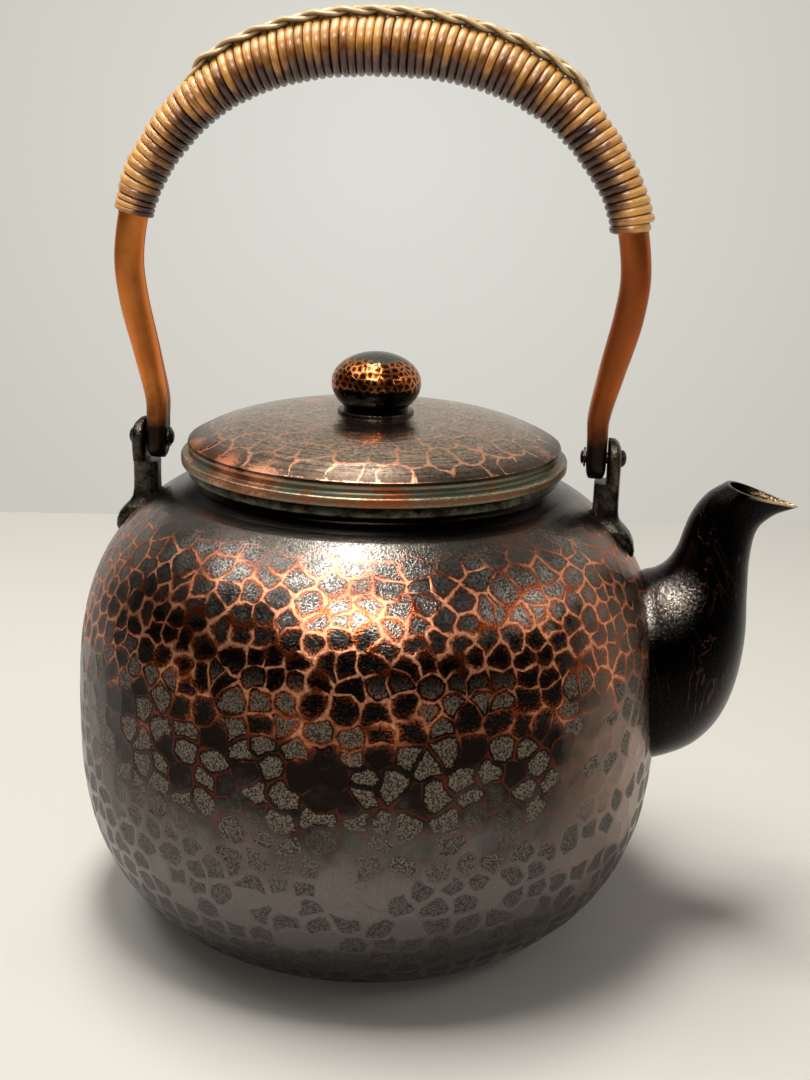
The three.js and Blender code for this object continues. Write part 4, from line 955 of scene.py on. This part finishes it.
# %% Hammered wall
def hammered(outline, across, along, dish, tilt, shake, seed, wobble=0.12, knot=0.06):
    """The hammered part of a spun shell. A point sinks by dish times (1 - share squared) of the way from
    its blow to the border, and tips by the blow's own lean. Returns points, triangles, the distance to
    the nearest ridge, the blow's tone, and the angles of the low and the high edge."""
    random = np.random.default_rng(seed)
    outline = np.asarray(outline, float)
    run, radius = run_along(outline), outline[:, 0]
    across, along, dish = (np.broadcast_to(x, run.shape).astype(float) for x in (across, along, dish))
    angle, height, chart = blow_rows(radius, run, across, along, shake, random)
    owner, blow, first, last = border_wedges(angle, height, chart[-1])
    lean = random.normal(0, tilt, (len(angle), 2))[owner]
    tone = random.uniform(0, 1, len(angle))[owner]

    border = wavy_borders(first, last, chart[-1], wobble)
    share = ring_shares[None, :, None]
    place = blow[:, None, None] + (border - blow[:, None, None]) * share[..., None]
    turn, up = place[..., 0], place[..., 1]
    local, spot = np.interp(up, chart, radius), np.interp(up, chart, run)
    ridge = ridge_distances(blow, first, last, share, knot) * local
    offset = (place - blow[:, None, None]) * local[..., None]
    leaned = (offset * lean[:, None, None]).sum(-1)
    sunk = (leaned - np.interp(spot, run, dish)) * (1 - share ** 2)
    slope_r, slope_z = (np.interp(spot, run, np.gradient(outline[:, k], run)) for k in range(2))
    r, z = local + sunk * slope_z, np.interp(spot, run, outline[:, 1]) - sunk * slope_r
    points = np.stack([r * np.cos(turn), r * np.sin(turn), z], -1).reshape(-1, 3)

    one = grid_triangles(len(ring_shares), len(border_shares))
    step = len(ring_shares) * len(border_shares)
    triangles = (one[None] + step * np.arange(len(owner))[:, None, None]).reshape(-1, 3)
    edges = [edge_angles(border, level) for level in (0, chart[-1])]
    print(f"{len(angle)} blows, {len(triangles)} triangles")
    return points, triangles, ridge.ravel(), np.repeat(tone, len(one)), edges


# %% Hammered piece
def make_hammered(name, wall, low_outline, high_outline, far, body, slot, material, stands_for):
    """A hammered wall with smooth rings that carry its two edges on along their outlines, as one closed
    piece. far is the distance from a ridge that the smooth parts get, in millimetres."""
    points, triangles, ridge, tones, (low_edge, high_edge) = wall
    low_points, low_triangles = spun(low_outline, low_edge)
    low_part = low_points, low_triangles[:, ::-1]
    all_points, all_triangles = joined((points, triangles), low_part, spun(high_outline, high_edge))
    ridge = np.concatenate([ridge, np.full(len(all_points) - len(points), far)])
    tones = np.concatenate([tones, np.full(len(all_triangles) - len(triangles), 0.5)])
    return make_piece(name, all_points, all_triangles, body, slot, material, stands_for, sharp=50,
                      values={"ridge": ridge}, tones={"mark_tone": tones})


# %% Hammered vessel
heights = wall_outline[:, 1]
size_heights, dish_heights = [0, 60, 95, 105, 122, 132, 142], [0, 8, 40, 100, 125, 138, 142]
blow_width = np.interp(heights, size_heights, [8.6, 9.0, 8.6, 7.4, 7.2, 9.2, 9.6])
blow_height = np.interp(heights, size_heights, [7.0, 7.2, 6.8, 5.9, 5.6, 6.2, 6.0])
blow_dish = np.interp(heights, dish_heights, [0.05, 0.14, 0.2, 0.13, 0.08, 0.04, 0.02])
vessel_wall = hammered(wall_outline, blow_width, blow_height, blow_dish, tilt=0.012, shake=0.18, seed=11,
                       wobble=0.17)

shoulder, lip_round, floor_height = (shoulder_radius, shoulder_height), 0.3, 6
neck_inside = neck_radius - body_wall
neck_outline = [shoulder, *bow(shoulder, (neck_radius, neck_foot), (neck_radius, fillet_top), 8),
                (neck_radius, neck_top - lip_round), (neck_radius - lip_round, neck_top),
                (neck_inside + lip_round, neck_top), (neck_inside, neck_top - lip_round),
                (neck_inside, fillet_top)]
inside = wall_outline[::-12] - np.array([body_wall, 0])
inside = inside[(inside[:, 1] > floor_height) & (inside[:, 1] < shoulder_height - body_wall)]
inner_outline = [*inside, (base_radius + 1, body_wall + 1), (base_radius - 4, body_wall), (0, body_wall)]
low_outline = [tuple(wall_outline[0]), *bow(wall_outline[0], (base_corner, 0), (base_radius, 0), 4), (0, 0)]
make_hammered("hammered_vessel", vessel_wall, low_outline, [*neck_outline, *inner_outline], 6.0, "kettle",
              "hammered_shell", shell_finish, ["kettle_body"])

# %% [markdown]
# ## Ring round the mouth
# A rolled ring stiffens the mouth and carries the lid's rim. It is a turned ring with a soft outer edge,
# so its section is drawn once and spun.

# %% Mouth ring
ring_inside, ring_outside = neck_radius + 0.02, neck_radius + 2.0
ring_foot, ring_round = neck_top - 3.3, 0.8
ring_outline = [(ring_inside, ring_foot),
                *bow((ring_inside + ring_round, ring_foot), (ring_outside, ring_foot),
                     (ring_outside, ring_foot + ring_round), 4),
                *bow((ring_outside, neck_top - ring_round), (ring_outside, neck_top),
                     (ring_outside - ring_round, neck_top), 4),
                (ring_inside, neck_top), (ring_inside, ring_foot)]
make_piece("rolled_mouth_ring", *spun(ring_outline, around(160)), "kettle", "rim_bronze", ring_finish,
           ["mouth_ring"])

# %% [markdown]
# ## Smooth curves
# The bail and the spout are given at a few stations. A curve that passes through all of them without
# corners fills in the rest, so the stations can be few and still give a fair line.

# %% Curve through stations
def curve_through(stations, steps):
    """A centripetal Catmull-Rom curve through the stations, with equal steps between each two."""
    p = np.asarray(stations, float)
    p = np.concatenate([[2 * p[0] - p[1]], p, [2 * p[-1] - p[-2]]])
    gaps = np.maximum((np.diff(p, axis=0) ** 2).sum(1) ** 0.25, 1e-4)[:, None]
    before, here, after = gaps[:-2], gaps[1:-1], gaps[2:]
    p0, p1, p2, p3 = p[:-3], p[1:-2], p[2:-1], p[3:]
    leave = ((p1 - p0) / before - (p2 - p0) / (before + here) + (p2 - p1) / here) * here
    reach = ((p2 - p1) / here - (p3 - p1) / (here + after) + (p3 - p2) / after) * here
    t = np.linspace(0, 1, steps, endpoint=False)[None, :, None]
    p1, p2, leave, reach = (x[:, None] for x in (p1, p2, leave, reach))
    curve = (p1 + leave * t + (3 * p2 - 3 * p1 - 2 * leave - reach) * t ** 2
             + (2 * p1 - 2 * p2 + leave + reach) * t ** 3)
    return np.concatenate([curve.reshape(-1, p.shape[1]), p[-2:-1]])


print("three stations and 4 steps give", len(curve_through([(0, 0), (1, 2), (3, 2)], 4)), "points")

# %% [markdown]
# ## Spout
# The spout is worked up from a cone of sheet, bent over, and brazed to the wall: wide and pear-shaped
# below, a narrow neck, and a mouth cut long with a drawn tip. Each station gives the breast line, the
# throat line, the width, and how far the front is drawn to a beak.

# %% Spout's stations
spout_overhang, spout_foot, spout_climb = 40.2, 57.3, 91.8
spout_root, spout_wall = 26, 1.3
spout_shares = np.array([
    # breast: out, up; throat: out, up; width; beak
    [-0.32, -0.03, -0.47, 0.62, 1, 0],
    [0.06, 0, -0.2, 0.66, 1, 0],
    [0.35, 0.065, -0.085, 0.681, 0.885, 0],
    [0.527, 0.165, -0.03, 0.697, 0.77, 0],
    [0.627, 0.295, 0.012, 0.716, 0.665, 0],
    [0.669, 0.455, 0.05, 0.741, 0.56, 0],
    [0.655, 0.617, 0.09, 0.781, 0.465, 0],
    [0.652, 0.747, 0.129, 0.841, 0.415, 0.05],
    [0.685, 0.838, 0.189, 0.906, 0.4, 0.25],
    [0.796, 0.893, 0.289, 0.964, 0.41, 0.55],
    [1, 0.931, 0.423, 1.003, 0.44, 0.88],
])
spout_sides, spout_steps = 72, 9
stations = np.concatenate([curve_through(half, spout_steps) for half in np.split(spout_shares, 2, axis=1)], 1)
print("spout from", len(spout_shares), "stations to", len(stations), "rings")


# %% Spout
def spout_skin(thinner):
    """Each ring is an ellipse from the breast line to the throat line, narrowed in front by the beak."""
    angle = around(spout_sides)
    root, reach = np.array([body_radius, spout_foot]), np.array([spout_overhang, spout_climb])
    breast, throat = (root + reach * stations[:, k:k + 2] for k in (0, 2))
    middle, half = (breast + throat) / 2, (breast - throat) / 2
    length = np.hypot(*half.T)[:, None]
    along = (length - thinner)[..., None] * np.cos(angle)[None, :, None] * (half / length)[:, None]
    drawn = 1 - stations[:, 5:6] * (1 + np.cos(angle)) / 2
    width = (spout_root * stations[:, 4:5] - thinner) * np.sin(angle) * drawn
    flat = middle[:, None] + along
    return np.stack([flat[..., 0], width, flat[..., 1]], -1)


def onto_wall(skin, depth):
    """Points inside the vessel are drawn out along +X to lie under its skin, at a depth."""
    wall_x = np.maximum(vessel_radius(skin[..., 2]) - depth, 0.0) ** 2 - skin[..., 1] ** 2
    out = skin.copy()
    out[..., 0] = np.maximum(skin[..., 0], np.sqrt(np.maximum(wall_x, 0)))
    return out


inner_lip_wear = 0.35
outer_skin, inner_skin = onto_wall(spout_skin(0), 0.8), onto_wall(spout_skin(spout_wall), 0.9)
rings = np.concatenate([outer_skin, inner_skin[::-1]])
from_lip = np.linalg.norm(rings - outer_skin[-1], axis=2)
from_lip[len(outer_skin):] *= inner_lip_wear
make_piece("beak_spout", rings.reshape(-1, 3), grid_triangles(len(rings), spout_sides, True, True), "kettle",
           "spout_shell", spout_finish, ["spout"], sharp=55, values={"lip": from_lip.ravel()})

# %% [markdown]
# ## Lid
# The lid is a plate with a flat dome, hammered in larger facets than the vessel, a cove below its
# shoulder and a plain rim. The dome falls away with the fourth power of the radius.

# %% Lid's dome
lid_rim_radius, lid_shoulder_radius, lid_rim_top = 61.7, 59.4, lid_seat + 3.1
lid_inside, lid_inner_top = 55.7, lid_rim_top - 1.3
dome_flat, dome_rise = 13, 9
lid_wall = 1.5
shoulder_drop, rim_round = 1.3, 0.7


def dome_height(radius):
    """Height of the dome: flat round the knob, then falling with the fourth power of the radius."""
    fall = (np.maximum(radius, dome_flat) ** 4 - dome_flat ** 4) / (lid_shoulder_radius ** 4 - dome_flat ** 4)
    return lid_seat + lid_shoulder_rise + dome_rise * (1 - fall)


dome_radii = np.linspace(lid_shoulder_radius, dome_flat, 120)
dome_outline = np.stack([dome_radii, dome_height(dome_radii)], 1)
dome_wall = hammered(dome_outline, across=9.2, along=7.6, dish=0.06, tilt=0.006, shake=0.18, seed=23,
                     wobble=0.17, knot=0.04)
dome_top = float(dome_height(0))
print("dome from", round(dome_outline[0, 1], 1), "to", dome_top, "mm")

# %% Lid plate
shoulder = tuple(dome_outline[0])
cove = (shoulder[0] - 0.65, lid_rim_top + shoulder_drop)
under = [(r, float(dome_height(r)) - lid_wall) for r in (52, 48, 42, 34, 25, 14, 5)]
rim_outline = [shoulder, *bow(shoulder, (shoulder[0] + 0.65, shoulder[1] - shoulder_drop), cove, 6),
               *bow(cove, (cove[0], lid_rim_top), (lid_rim_radius - rim_round, lid_rim_top), 6),
               *bow((lid_rim_radius - rim_round, lid_rim_top), (lid_rim_radius, lid_rim_top),
                    (lid_rim_radius, lid_rim_top - rim_round), 4),
               *bow((lid_rim_radius, lid_seat + rim_round), (lid_rim_radius, lid_seat),
                    (lid_rim_radius - rim_round, lid_seat), 4),
               (lid_inside, lid_seat), (lid_inside, lid_inner_top), *under, (0, dome_top - lid_wall)]
crown_outline = [(dome_flat, float(dome_height(dome_flat))), (0, dome_top)]
lid = make_hammered("hammered_lid", dome_wall, rim_outline, crown_outline, 6.0, "lid", "hammered_lid",
                    lid_finish, ["lid_plate"])

# %% [markdown]
# ## Steam slot
# A short slot is punched through the dome near the rim, so that steam can leave while the lid is on. A
# small block is taken out of the finished plate.

# %% Steam slot
slot_radius, slot_angle = 55.0, math.radians(212.5)
slot_length, slot_width, slot_heights = 3.4, 1.2, (151.5, 166)
corners = [(x * slot_length / 2, y * slot_width / 2, z) for z in slot_heights
           for x, y in ((-1, -1), (1, -1), (1, 1), (-1, 1))]
block = bpy.data.meshes.new("slot_block")
block.from_pydata([[c * MM for c in corner] for corner in corners], [],
                  [(3, 2, 1, 0), (4, 5, 6, 7), (0, 1, 5, 4), (1, 2, 6, 5), (2, 3, 7, 6), (3, 0, 4, 7)])
slot_place = Vector((slot_radius * math.cos(slot_angle), slot_radius * math.sin(slot_angle), 0)) * MM
block.transform(Matrix.Translation(slot_place) @ Matrix.Rotation(slot_angle, 4, "Z"))
punch = into_scene("slot_block", block)
cut = lid.modifiers.new("slot", "BOOLEAN")
cut.operation, cut.object, cut.solver = "DIFFERENCE", punch, "EXACT"
slotted_lid = lid.evaluated_get(bpy.context.evaluated_depsgraph_get())
lid.data = bpy.data.meshes.new_from_object(slotted_lid)
lid.modifiers.clear()
bpy.data.objects.remove(punch)
print("lid with its slot:", len(lid.data.polygons), "faces", sorted(a.name for a in lid.data.attributes))

# %% [markdown]
# ## Knob
# The knob is a flattened ball on a short neck over a thin disc, hammered all over with a small
# round-faced hammer.

# %% Knob and its seat
seat_radius, seat_thickness = 12.2, 1
knob_foot = dome_top + seat_thickness
knob_radius, knob_neck, knob_neck_height = 14.3, 10.3, 1.2
knob_lower, knob_upper = 10.6, 9.7
knob_start = -math.acos(knob_neck / knob_radius)
knob_middle = knob_foot + knob_neck_height - knob_lower * math.sin(knob_start)
knob_turns = np.linspace(knob_start, math.pi / 2 - 0.1, 160)
knob_depth = np.where(knob_turns < 0, knob_lower, knob_upper)
knob_outline = np.stack([knob_radius * np.cos(knob_turns), knob_middle + knob_depth * np.sin(knob_turns)], 1)
knob_wall = hammered(knob_outline, across=2.5, along=2.1, dish=0.05, tilt=0.03, shake=0.2, seed=41, knot=0.1)
neck_outline = [tuple(knob_outline[0]), (knob_neck, knob_foot), (0, knob_foot)]
crown_outline = [tuple(knob_outline[-1]), (0, knob_middle + knob_upper)]
make_hammered("hammered_knob", knob_wall, neck_outline, crown_outline, 0.0, "lid", "knob_shell", knob_finish,
              ["lid_knob"])
seat_edge = bow((seat_radius, dome_top + 0.5), (seat_radius, knob_foot), (seat_radius - 0.6, knob_foot), 4)
seat_outline = [(0, dome_top), (seat_radius, dome_top), *seat_edge, (0, knob_foot)]
make_piece("knob_seat_disc", *spun(seat_outline, around(120)), "lid", "hammered_lid", seat_painted_shade_finish,
           ["knob_seat"])

# %% [markdown]
# ## Collar under the lid
# The collar drops into the neck and keeps the lid from sliding off.

# %% Lid collar
collar_outside, collar_inside = 55.4, 55.4 - 1.2
collar_top, collar_foot = lid_inner_top, lid_seat - 11
collar_outline = [(collar_inside, collar_foot), (collar_outside - 0.3, collar_foot),
                  (collar_outside, collar_foot + 0.4), (collar_outside, collar_top),
                  (collar_inside, collar_top), (collar_inside, collar_foot)]
make_piece("lid_collar_band", *spun(collar_outline, around(160)), "lid", "bare_copper", collar_finish,
           ["lid_collar"])

# %% [markdown]
# ## Bail
# The bail is a drawn copper tube, bent over a former and hammered flat at both ends, where it hangs on
# its rivets. Its line is a smooth curve through a few stations, and its section changes from a flat
# tongue to a round tube that swells towards the crown.

# %% Bail line
pivot_spread, pivot_height = 70.7, 155.6
bail_flare, bail_rise, bail_half_span = 8.7, 123.6, 79.4
tongue_end = 6.8
leg_shares = [(0, 0.1), (0.36, 0.217), (0.86, 0.365), (1, 0.472)]
arch_shares = [(0.956, 0.631), (0.883, 0.727), (0.742, 0.841), (0.533, 0.932), (0.266, 0.986)]
half_line = [(pivot_spread, pivot_height + rise) for rise in (-tongue_end, 0, tongue_end)]
half_line += [(pivot_spread + bail_flare * out, pivot_height + bail_rise * up) for out, up in leg_shares]
half_line += [(bail_half_span * out, pivot_height + bail_rise * up) for out, up in arch_shares]
left_line = [(-x, z) for x, z in half_line]
bail_line = curve_through([*left_line, (0, pivot_height + bail_rise), *half_line[::-1]], 200)
bail_run = run_along(bail_line)
bail_length = bail_run[-1]
bail_way = np.gradient(bail_line, bail_run, axis=0)
print("bail", round(bail_length, 1), "mm along its middle line")


def beside_bail(distance, out, across):
    """A point at a distance along the bail's line, moved out in its plane and across it."""
    x, z = (np.interp(distance, bail_run, bail_line[:, k]) for k in range(2))
    way_x, way_z = (np.interp(distance, bail_run, bail_way[:, k]) for k in range(2))
    return np.stack([x - way_z * out, across + 0 * x, z + way_x * out], -1)


# %% Bail sections
leg_half, crown_swell = 4.7, 1.7
tongue_half_thickness, tongue_half_width = 3.2, 6
opening_length = 46
wrap_start_share = 0.2175
binding_start = wrap_start_share * bail_length


def bail_half_sizes(distance):
    """Half sizes of the tube in the bail's plane and across it: flat tongue, round leg, fuller crown."""
    from_pivot = np.minimum(distance, bail_length - distance) - tongue_end
    up_arch = (from_pivot - binding_start) / (bail_length / 2 - binding_start)
    leg = leg_half + crown_swell * smooth(up_arch)
    opened = smooth(from_pivot / opening_length)
    in_plane = tongue_half_thickness + (leg - tongue_half_thickness) * opened
    across = tongue_half_width + (leg - tongue_half_width) * opened
    past = np.clip(-from_pivot / tongue_end, 0, 1)
    rounded = np.minimum(tongue_half_width, tongue_end * np.sqrt(1 - past ** 2))
    return in_plane * (1 - past ** 4 / 3), np.where(from_pivot < 0, rounded, across)


print("tube", 2 * leg_half, "mm thick in the leg and", 2 * (leg_half + crown_swell), "mm at the crown")

# %% Bail tube
tube_sides = 64
seam_depth, tongue_bluntness, blunt_length = 0.3, 0.6, 40
ends = tongue_end * (1 - np.cos(np.linspace(0, math.pi / 2, 9)[:-1]))
between = np.linspace(tongue_end, bail_length - tongue_end, 260)
distances = np.concatenate([ends, between, (bail_length - ends)[::-1]])
in_plane, across = bail_half_sizes(distances)
from_tongue = np.minimum(distances, bail_length - distances) - tongue_end
bluntness = 1 + tongue_bluntness * (1 - smooth(from_tongue / blunt_length))[:, None]
angle = around(tube_sides)
section = [np.sign(f(angle)) * np.abs(f(angle)) ** (1 / bluntness) for f in (np.cos, np.sin)]
groove = (np.arange(tube_sides) == tube_sides // 2) * np.ones(len(distances))[:, None]
tube_points = beside_bail(distances[:, None], (in_plane[:, None] - seam_depth * groove) * section[0],
                          across[:, None] * section[1])
tube_triangles = grid_triangles(len(distances), tube_sides, False, True)
make_piece("bail_copper_tube", tube_points.reshape(-1, 3), tube_triangles, "bail", "bail_copper", tube_finish,
           ["bail_tube"], sharp=60, values={"seam": groove.ravel()})

# %% [markdown]
# ## Rattan winding
# Cane is split, flattened on its inner face and wound wet, turn against turn, so that it grips as it
# dries. The strand is one long ribbon with a rounded back that climbs round the tube as a helix. Its
# width is laid along the bail's line, so the turns close up by themselves inside the arch. Under the
# crown the strand is a little thicker, and at both ends it is tucked in.

# %% Winding's measures
turn_steps = 40
strand_section = np.array([(-0.5, 0.0), (0.5, 0.0), (0.5, 0.5), (0.44, 0.76), (0.3, 0.92), (0.11, 0.99),
                           (-0.11, 0.99), (-0.3, 0.92), (-0.44, 0.76), (-0.5, 0.5)])
binding_length = 4.9
wrap_pitch, strand_thickness = 2.62, 2.1
wrap_start = binding_start + binding_length
wrap_turns = math.floor((bail_length - binding_start - wrap_start) / wrap_pitch)
wrap_radius = 8
print("winding of", wrap_turns, "turns")


# %% Winding
def wind(name, node, start, turns, pitch, width, thickness, last_fuller, thicker_inside, seed):
    """One unbroken strand: its angle grows with the distance, and its section is flat inside, round outside.
    last_fuller is how much the last turn stands out, thicker_inside what the strand gains under the crown."""
    random = np.random.default_rng(seed)
    count = round(turns * turn_steps)
    turn = np.arange(count + 1) / turn_steps
    knots = np.arange(-2, math.ceil(turns) + 4)
    shake = np.interp(turn, knots, random.normal(0, 1, len(knots)))
    fuller = 1 + 0.06 * np.interp(turn, knots, random.normal(0, 1, len(knots)))
    fuller = fuller * (1 + last_fuller * smooth((turn - turns + 1.4) / 0.4))
    distance = start + pitch * turn + 0.05 * pitch * shake
    angle = TURN * turn
    in_plane, across = bail_half_sizes(distance)
    tuck = 0.75 * (1 - smooth(np.minimum(turn, turn[-1] - turn) / 0.3))
    side, lift = strand_section[:, 0] * width, strand_section[:, 1]
    deeper = thicker_inside * smooth(np.minimum(turn, turns - turn) / 14) * (1 - np.cos(angle)) / 2
    rise = 0.05 + (thickness * fuller + deeper)[:, None] * lift - thickness * tuck[:, None]
    out = (in_plane[:, None] + rise) * np.cos(angle)[:, None]
    aside = (across[:, None] + rise) * np.sin(angle)[:, None]
    points = beside_bail(distance[:, None] + side, out, aside)
    sides = len(strand_section)
    pattern = np.stack([np.repeat(angle * wrap_radius, sides),
                        np.tile(run_along(strand_section), count + 1)], 1)
    make_piece(name, points.reshape(-1, 3), capped(count + 1, sides), "bail", "rattan", rattan_finish, [node],
               sharp=70, uv=pattern, values={"turn": np.repeat(turn, sides)})


wind("rattan_winding", "rattan_wrap", wrap_start, wrap_turns, wrap_pitch, width=2.66,
     thickness=strand_thickness, last_fuller=0.2, thicker_inside=1.0, seed=41)
wind("rattan_binding", "rattan_end_binding", binding_start, turns=3.6, pitch=1.65, width=1.68,
     thickness=1.7, last_fuller=0, thicker_inside=0, seed=43)

# %% [markdown]
# ## Braid
# Three splits of cane are plaited along the top of the winding. In a plait of three, every strand goes
# from side to side like a sine, and up and down twice as fast, each a third of a repeat behind the last.

# %% Braid
braid_start, braid_end = 0.332 * bail_length, 0.68 * bail_length
braid_repeat, braid_steps, braid_sides = 25.0, 600, 14
ease_length, end_dip = 9, 2.2
over_winding, over_under, side_swing = 1.2, 0.75, 2.4
split_half_width, split_half_thickness = 1.95, 1.0
strand_apart = 200


def unit(vectors):
    """Vectors with the same directions and a length of one."""
    return vectors / np.linalg.norm(vectors, axis=1)[:, None]


def plait(phase):
    """One strand: side to side with the repeat, over and under at twice the rate, dipping at both ends."""
    distance = np.linspace(braid_start, braid_end, braid_steps)
    turn = TURN * ((distance - braid_start) / braid_repeat + phase)
    ease = smooth(np.minimum(distance - braid_start, braid_end - distance) / ease_length)
    level = bail_half_sizes(distance)[0] + strand_thickness + over_winding
    level = level + over_under * np.sin(2 * turn) * ease - end_dip * (1 - ease)
    side = side_swing * np.sin(turn) * (0.35 + 0.65 * ease)
    centre = beside_bail(distance, level, side)
    way = unit(np.gradient(centre, axis=0))
    flat = unit(np.cross(beside_bail(distance, level + 1, side) - centre, way))
    up = np.cross(way, flat)
    angle = around(braid_sides)
    wide, thick = split_half_width * np.cos(angle), split_half_thickness * np.sin(angle)
    points = centre[:, None] + wide[None, :, None] * flat[:, None] + thick[None, :, None] * up[:, None]
    round_back = strand_middle + ((angle / TURN + 0.25) % 1 - 0.5) * 5
    pattern = np.stack([np.repeat(run_along(centre) + strand_apart * phase, braid_sides),
                        np.tile(round_back, braid_steps)], 1)
    return points.reshape(-1, 3), capped(braid_steps, braid_sides), pattern


strands = [plait(k / 3) for k in range(3)]
braid_points, braid_triangles = joined(*[(p, t) for p, t, _ in strands])
make_piece("rattan_plait", braid_points, braid_triangles, "bail", "pale_rattan", braid_finish,
           ["rattan_braid"], sharp=70, uv=np.concatenate([u for _, _, u in strands]))

# %% [markdown]
# ## Ears
# The ears are cast bronze. Each is a post that grows out of a leaf-shaped foot on the shoulder and
# thins to a cheek beside the bail's tongue. It is a stack of rounded sections: every level has an inner
# and an outer face and a width, and near the foot the inner face follows the shoulder.

# %% Ear's levels
ear_levels = np.array([
    # height, inner face, outer face, half width
    [122.8, 80.0, 84.0, 0.6], [124.0, 80.0, 84.3, 2.9], [126.0, 78.5, 84.6, 4.7], [128.5, 76.0, 84.2, 6.1],
    [130.8, 74.0, 83.2, 6.5], [132.6, 72.0, 81.8, 6.3], [134.2, 70.4, 80.2, 5.5], [136.0, 70.3, 79.1, 4.7],
    [138.5, 70.4, 78.7, 4.35], [142.0, 70.5, 78.6, 4.3], [146.0, 70.5, 78.6, 4.5], [147.4, 70.5, 78.6, 4.8],
    [147.95, 70.7, 78.6, 4.95], [148.0, 74.2, 78.6, 5.0], [149.5, 74.2, 78.6, 5.5], [152.0, 74.2, 78.6, 6.2],
    [155.0, 74.2, 78.6, 6.5], [157.0, 74.2, 78.6, 6.4], [158.8, 74.2, 78.4, 5.7], [160.4, 74.2, 77.7, 4.5],
    [161.5, 74.25, 76.6, 2.9], [162.1, 74.4, 75.3, 0.5],
])
ear_sides, ear_squareness = 40, 0.52
foot_sink, foot_sliver = 0.6, 0.05
print("ear", round(ear_levels[-1, 0] - ear_levels[0, 0], 1), "mm high")


# %% Ears
def ear_rings():
    """Rounded rectangles stacked by height. Inner points that would sink into the shoulder stay on it, in
    a sliver thick enough to keep the skin closed."""
    levels = []
    for low, high in zip(ear_levels[:-1], ear_levels[1:]):
        steps = 1 if high[0] - low[0] < 0.1 else 3
        levels.append(low + (high - low) * (np.arange(steps) / steps)[:, None])
    levels = np.concatenate([*levels, ear_levels[-1:]])
    along, aside = (np.sign(f(around(ear_sides))) * np.abs(f(around(ear_sides))) ** ear_squareness
                    for f in (np.cos, np.sin))
    middle, half = (levels[:, 1] + levels[:, 2]) / 2, (levels[:, 2] - levels[:, 1]) / 2
    x = middle[:, None] + half[:, None] * along
    y = levels[:, 3:4] * aside
    z = np.broadcast_to(levels[:, :1], x.shape)
    wall_x = np.sqrt(np.maximum((vessel_radius(z) - foot_sink) ** 2 - y ** 2, 0))
    on_wall = np.maximum(x, wall_x + foot_sliver * along)
    return np.stack([np.where(z < shoulder_height, on_wall, x), y, z], -1)


both_sides = (("spout_side", 1), ("back_side", -1))
rings = ear_rings()
for place, side in both_sides:
    make_piece(f"bronze_ear_{place}", rings.reshape(-1, 3) * [side, side, 1], capped(len(rings), ear_sides),
               "kettle", "ear_bronze", bronze_finish, [f"ear_{place}"], sharp=48)

# %% [markdown]
# ## Rivets
# A rivet with a domed head holds each tongue to its ear, with a thin washer under the inner head. Each is
# turned as an outline round the vertical axis, laid down along X and put on the bail's pivot.

# %% Rivets and washers
head_seat, inner_seat = 78.6, 66.5
washer_low, washer_high, washer_hole, washer_radius = 66.7, 67.3, 2.0, 3.1
rivet_outline = [(0, inner_seat - 0.85), (1.2, inner_seat - 0.8), (2.0, inner_seat - 0.5), (2.4, inner_seat),
                 (1.8, inner_seat), (1.8, head_seat), (2.75, head_seat), (2.7, head_seat + 0.4),
                 (2.35, head_seat + 0.95), (1.6, head_seat + 1.4), (0.8, head_seat + 1.62),
                 (0, head_seat + 1.7)]
washer_outline = [(washer_hole, washer_low), (washer_radius, washer_low), (washer_radius, washer_high),
                  (washer_hole, washer_high), (washer_hole, washer_low)]
for outline, label, node in ((rivet_outline, "bail_rivet", "hinge_rivet"),
                             (washer_outline, "rivet_washer", "hinge_washer")):
    points, triangles = spun(outline, around(40))
    lying = np.stack([points[:, 2], points[:, 1], -points[:, 0]], 1)
    for place, side in both_sides:
        placed = lying * [side, side, 1] + [0, 0, pivot_height]
        make_piece(f"{label}_{place}", placed, triangles, "kettle", "ear_bronze", bronze_finish,
                   [f"{node}_{place}"])

# %% [markdown]
# ## Hidden pieces
# The washers inside the shoulder and the knob's stud and washer are plain turned copper that no photo
# shows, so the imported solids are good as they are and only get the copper's finish.

# %% Hidden pieces keep their solids
hidden = ("ear_washer_spout_side", "ear_washer_back_side", "knob_washer", "knob_stud")
for node in hidden:
    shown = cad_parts[node]
    shown.data.materials.clear()
    shown.data.materials.append(collar_finish)
print(len(hidden), "hidden pieces finished in plain copper")
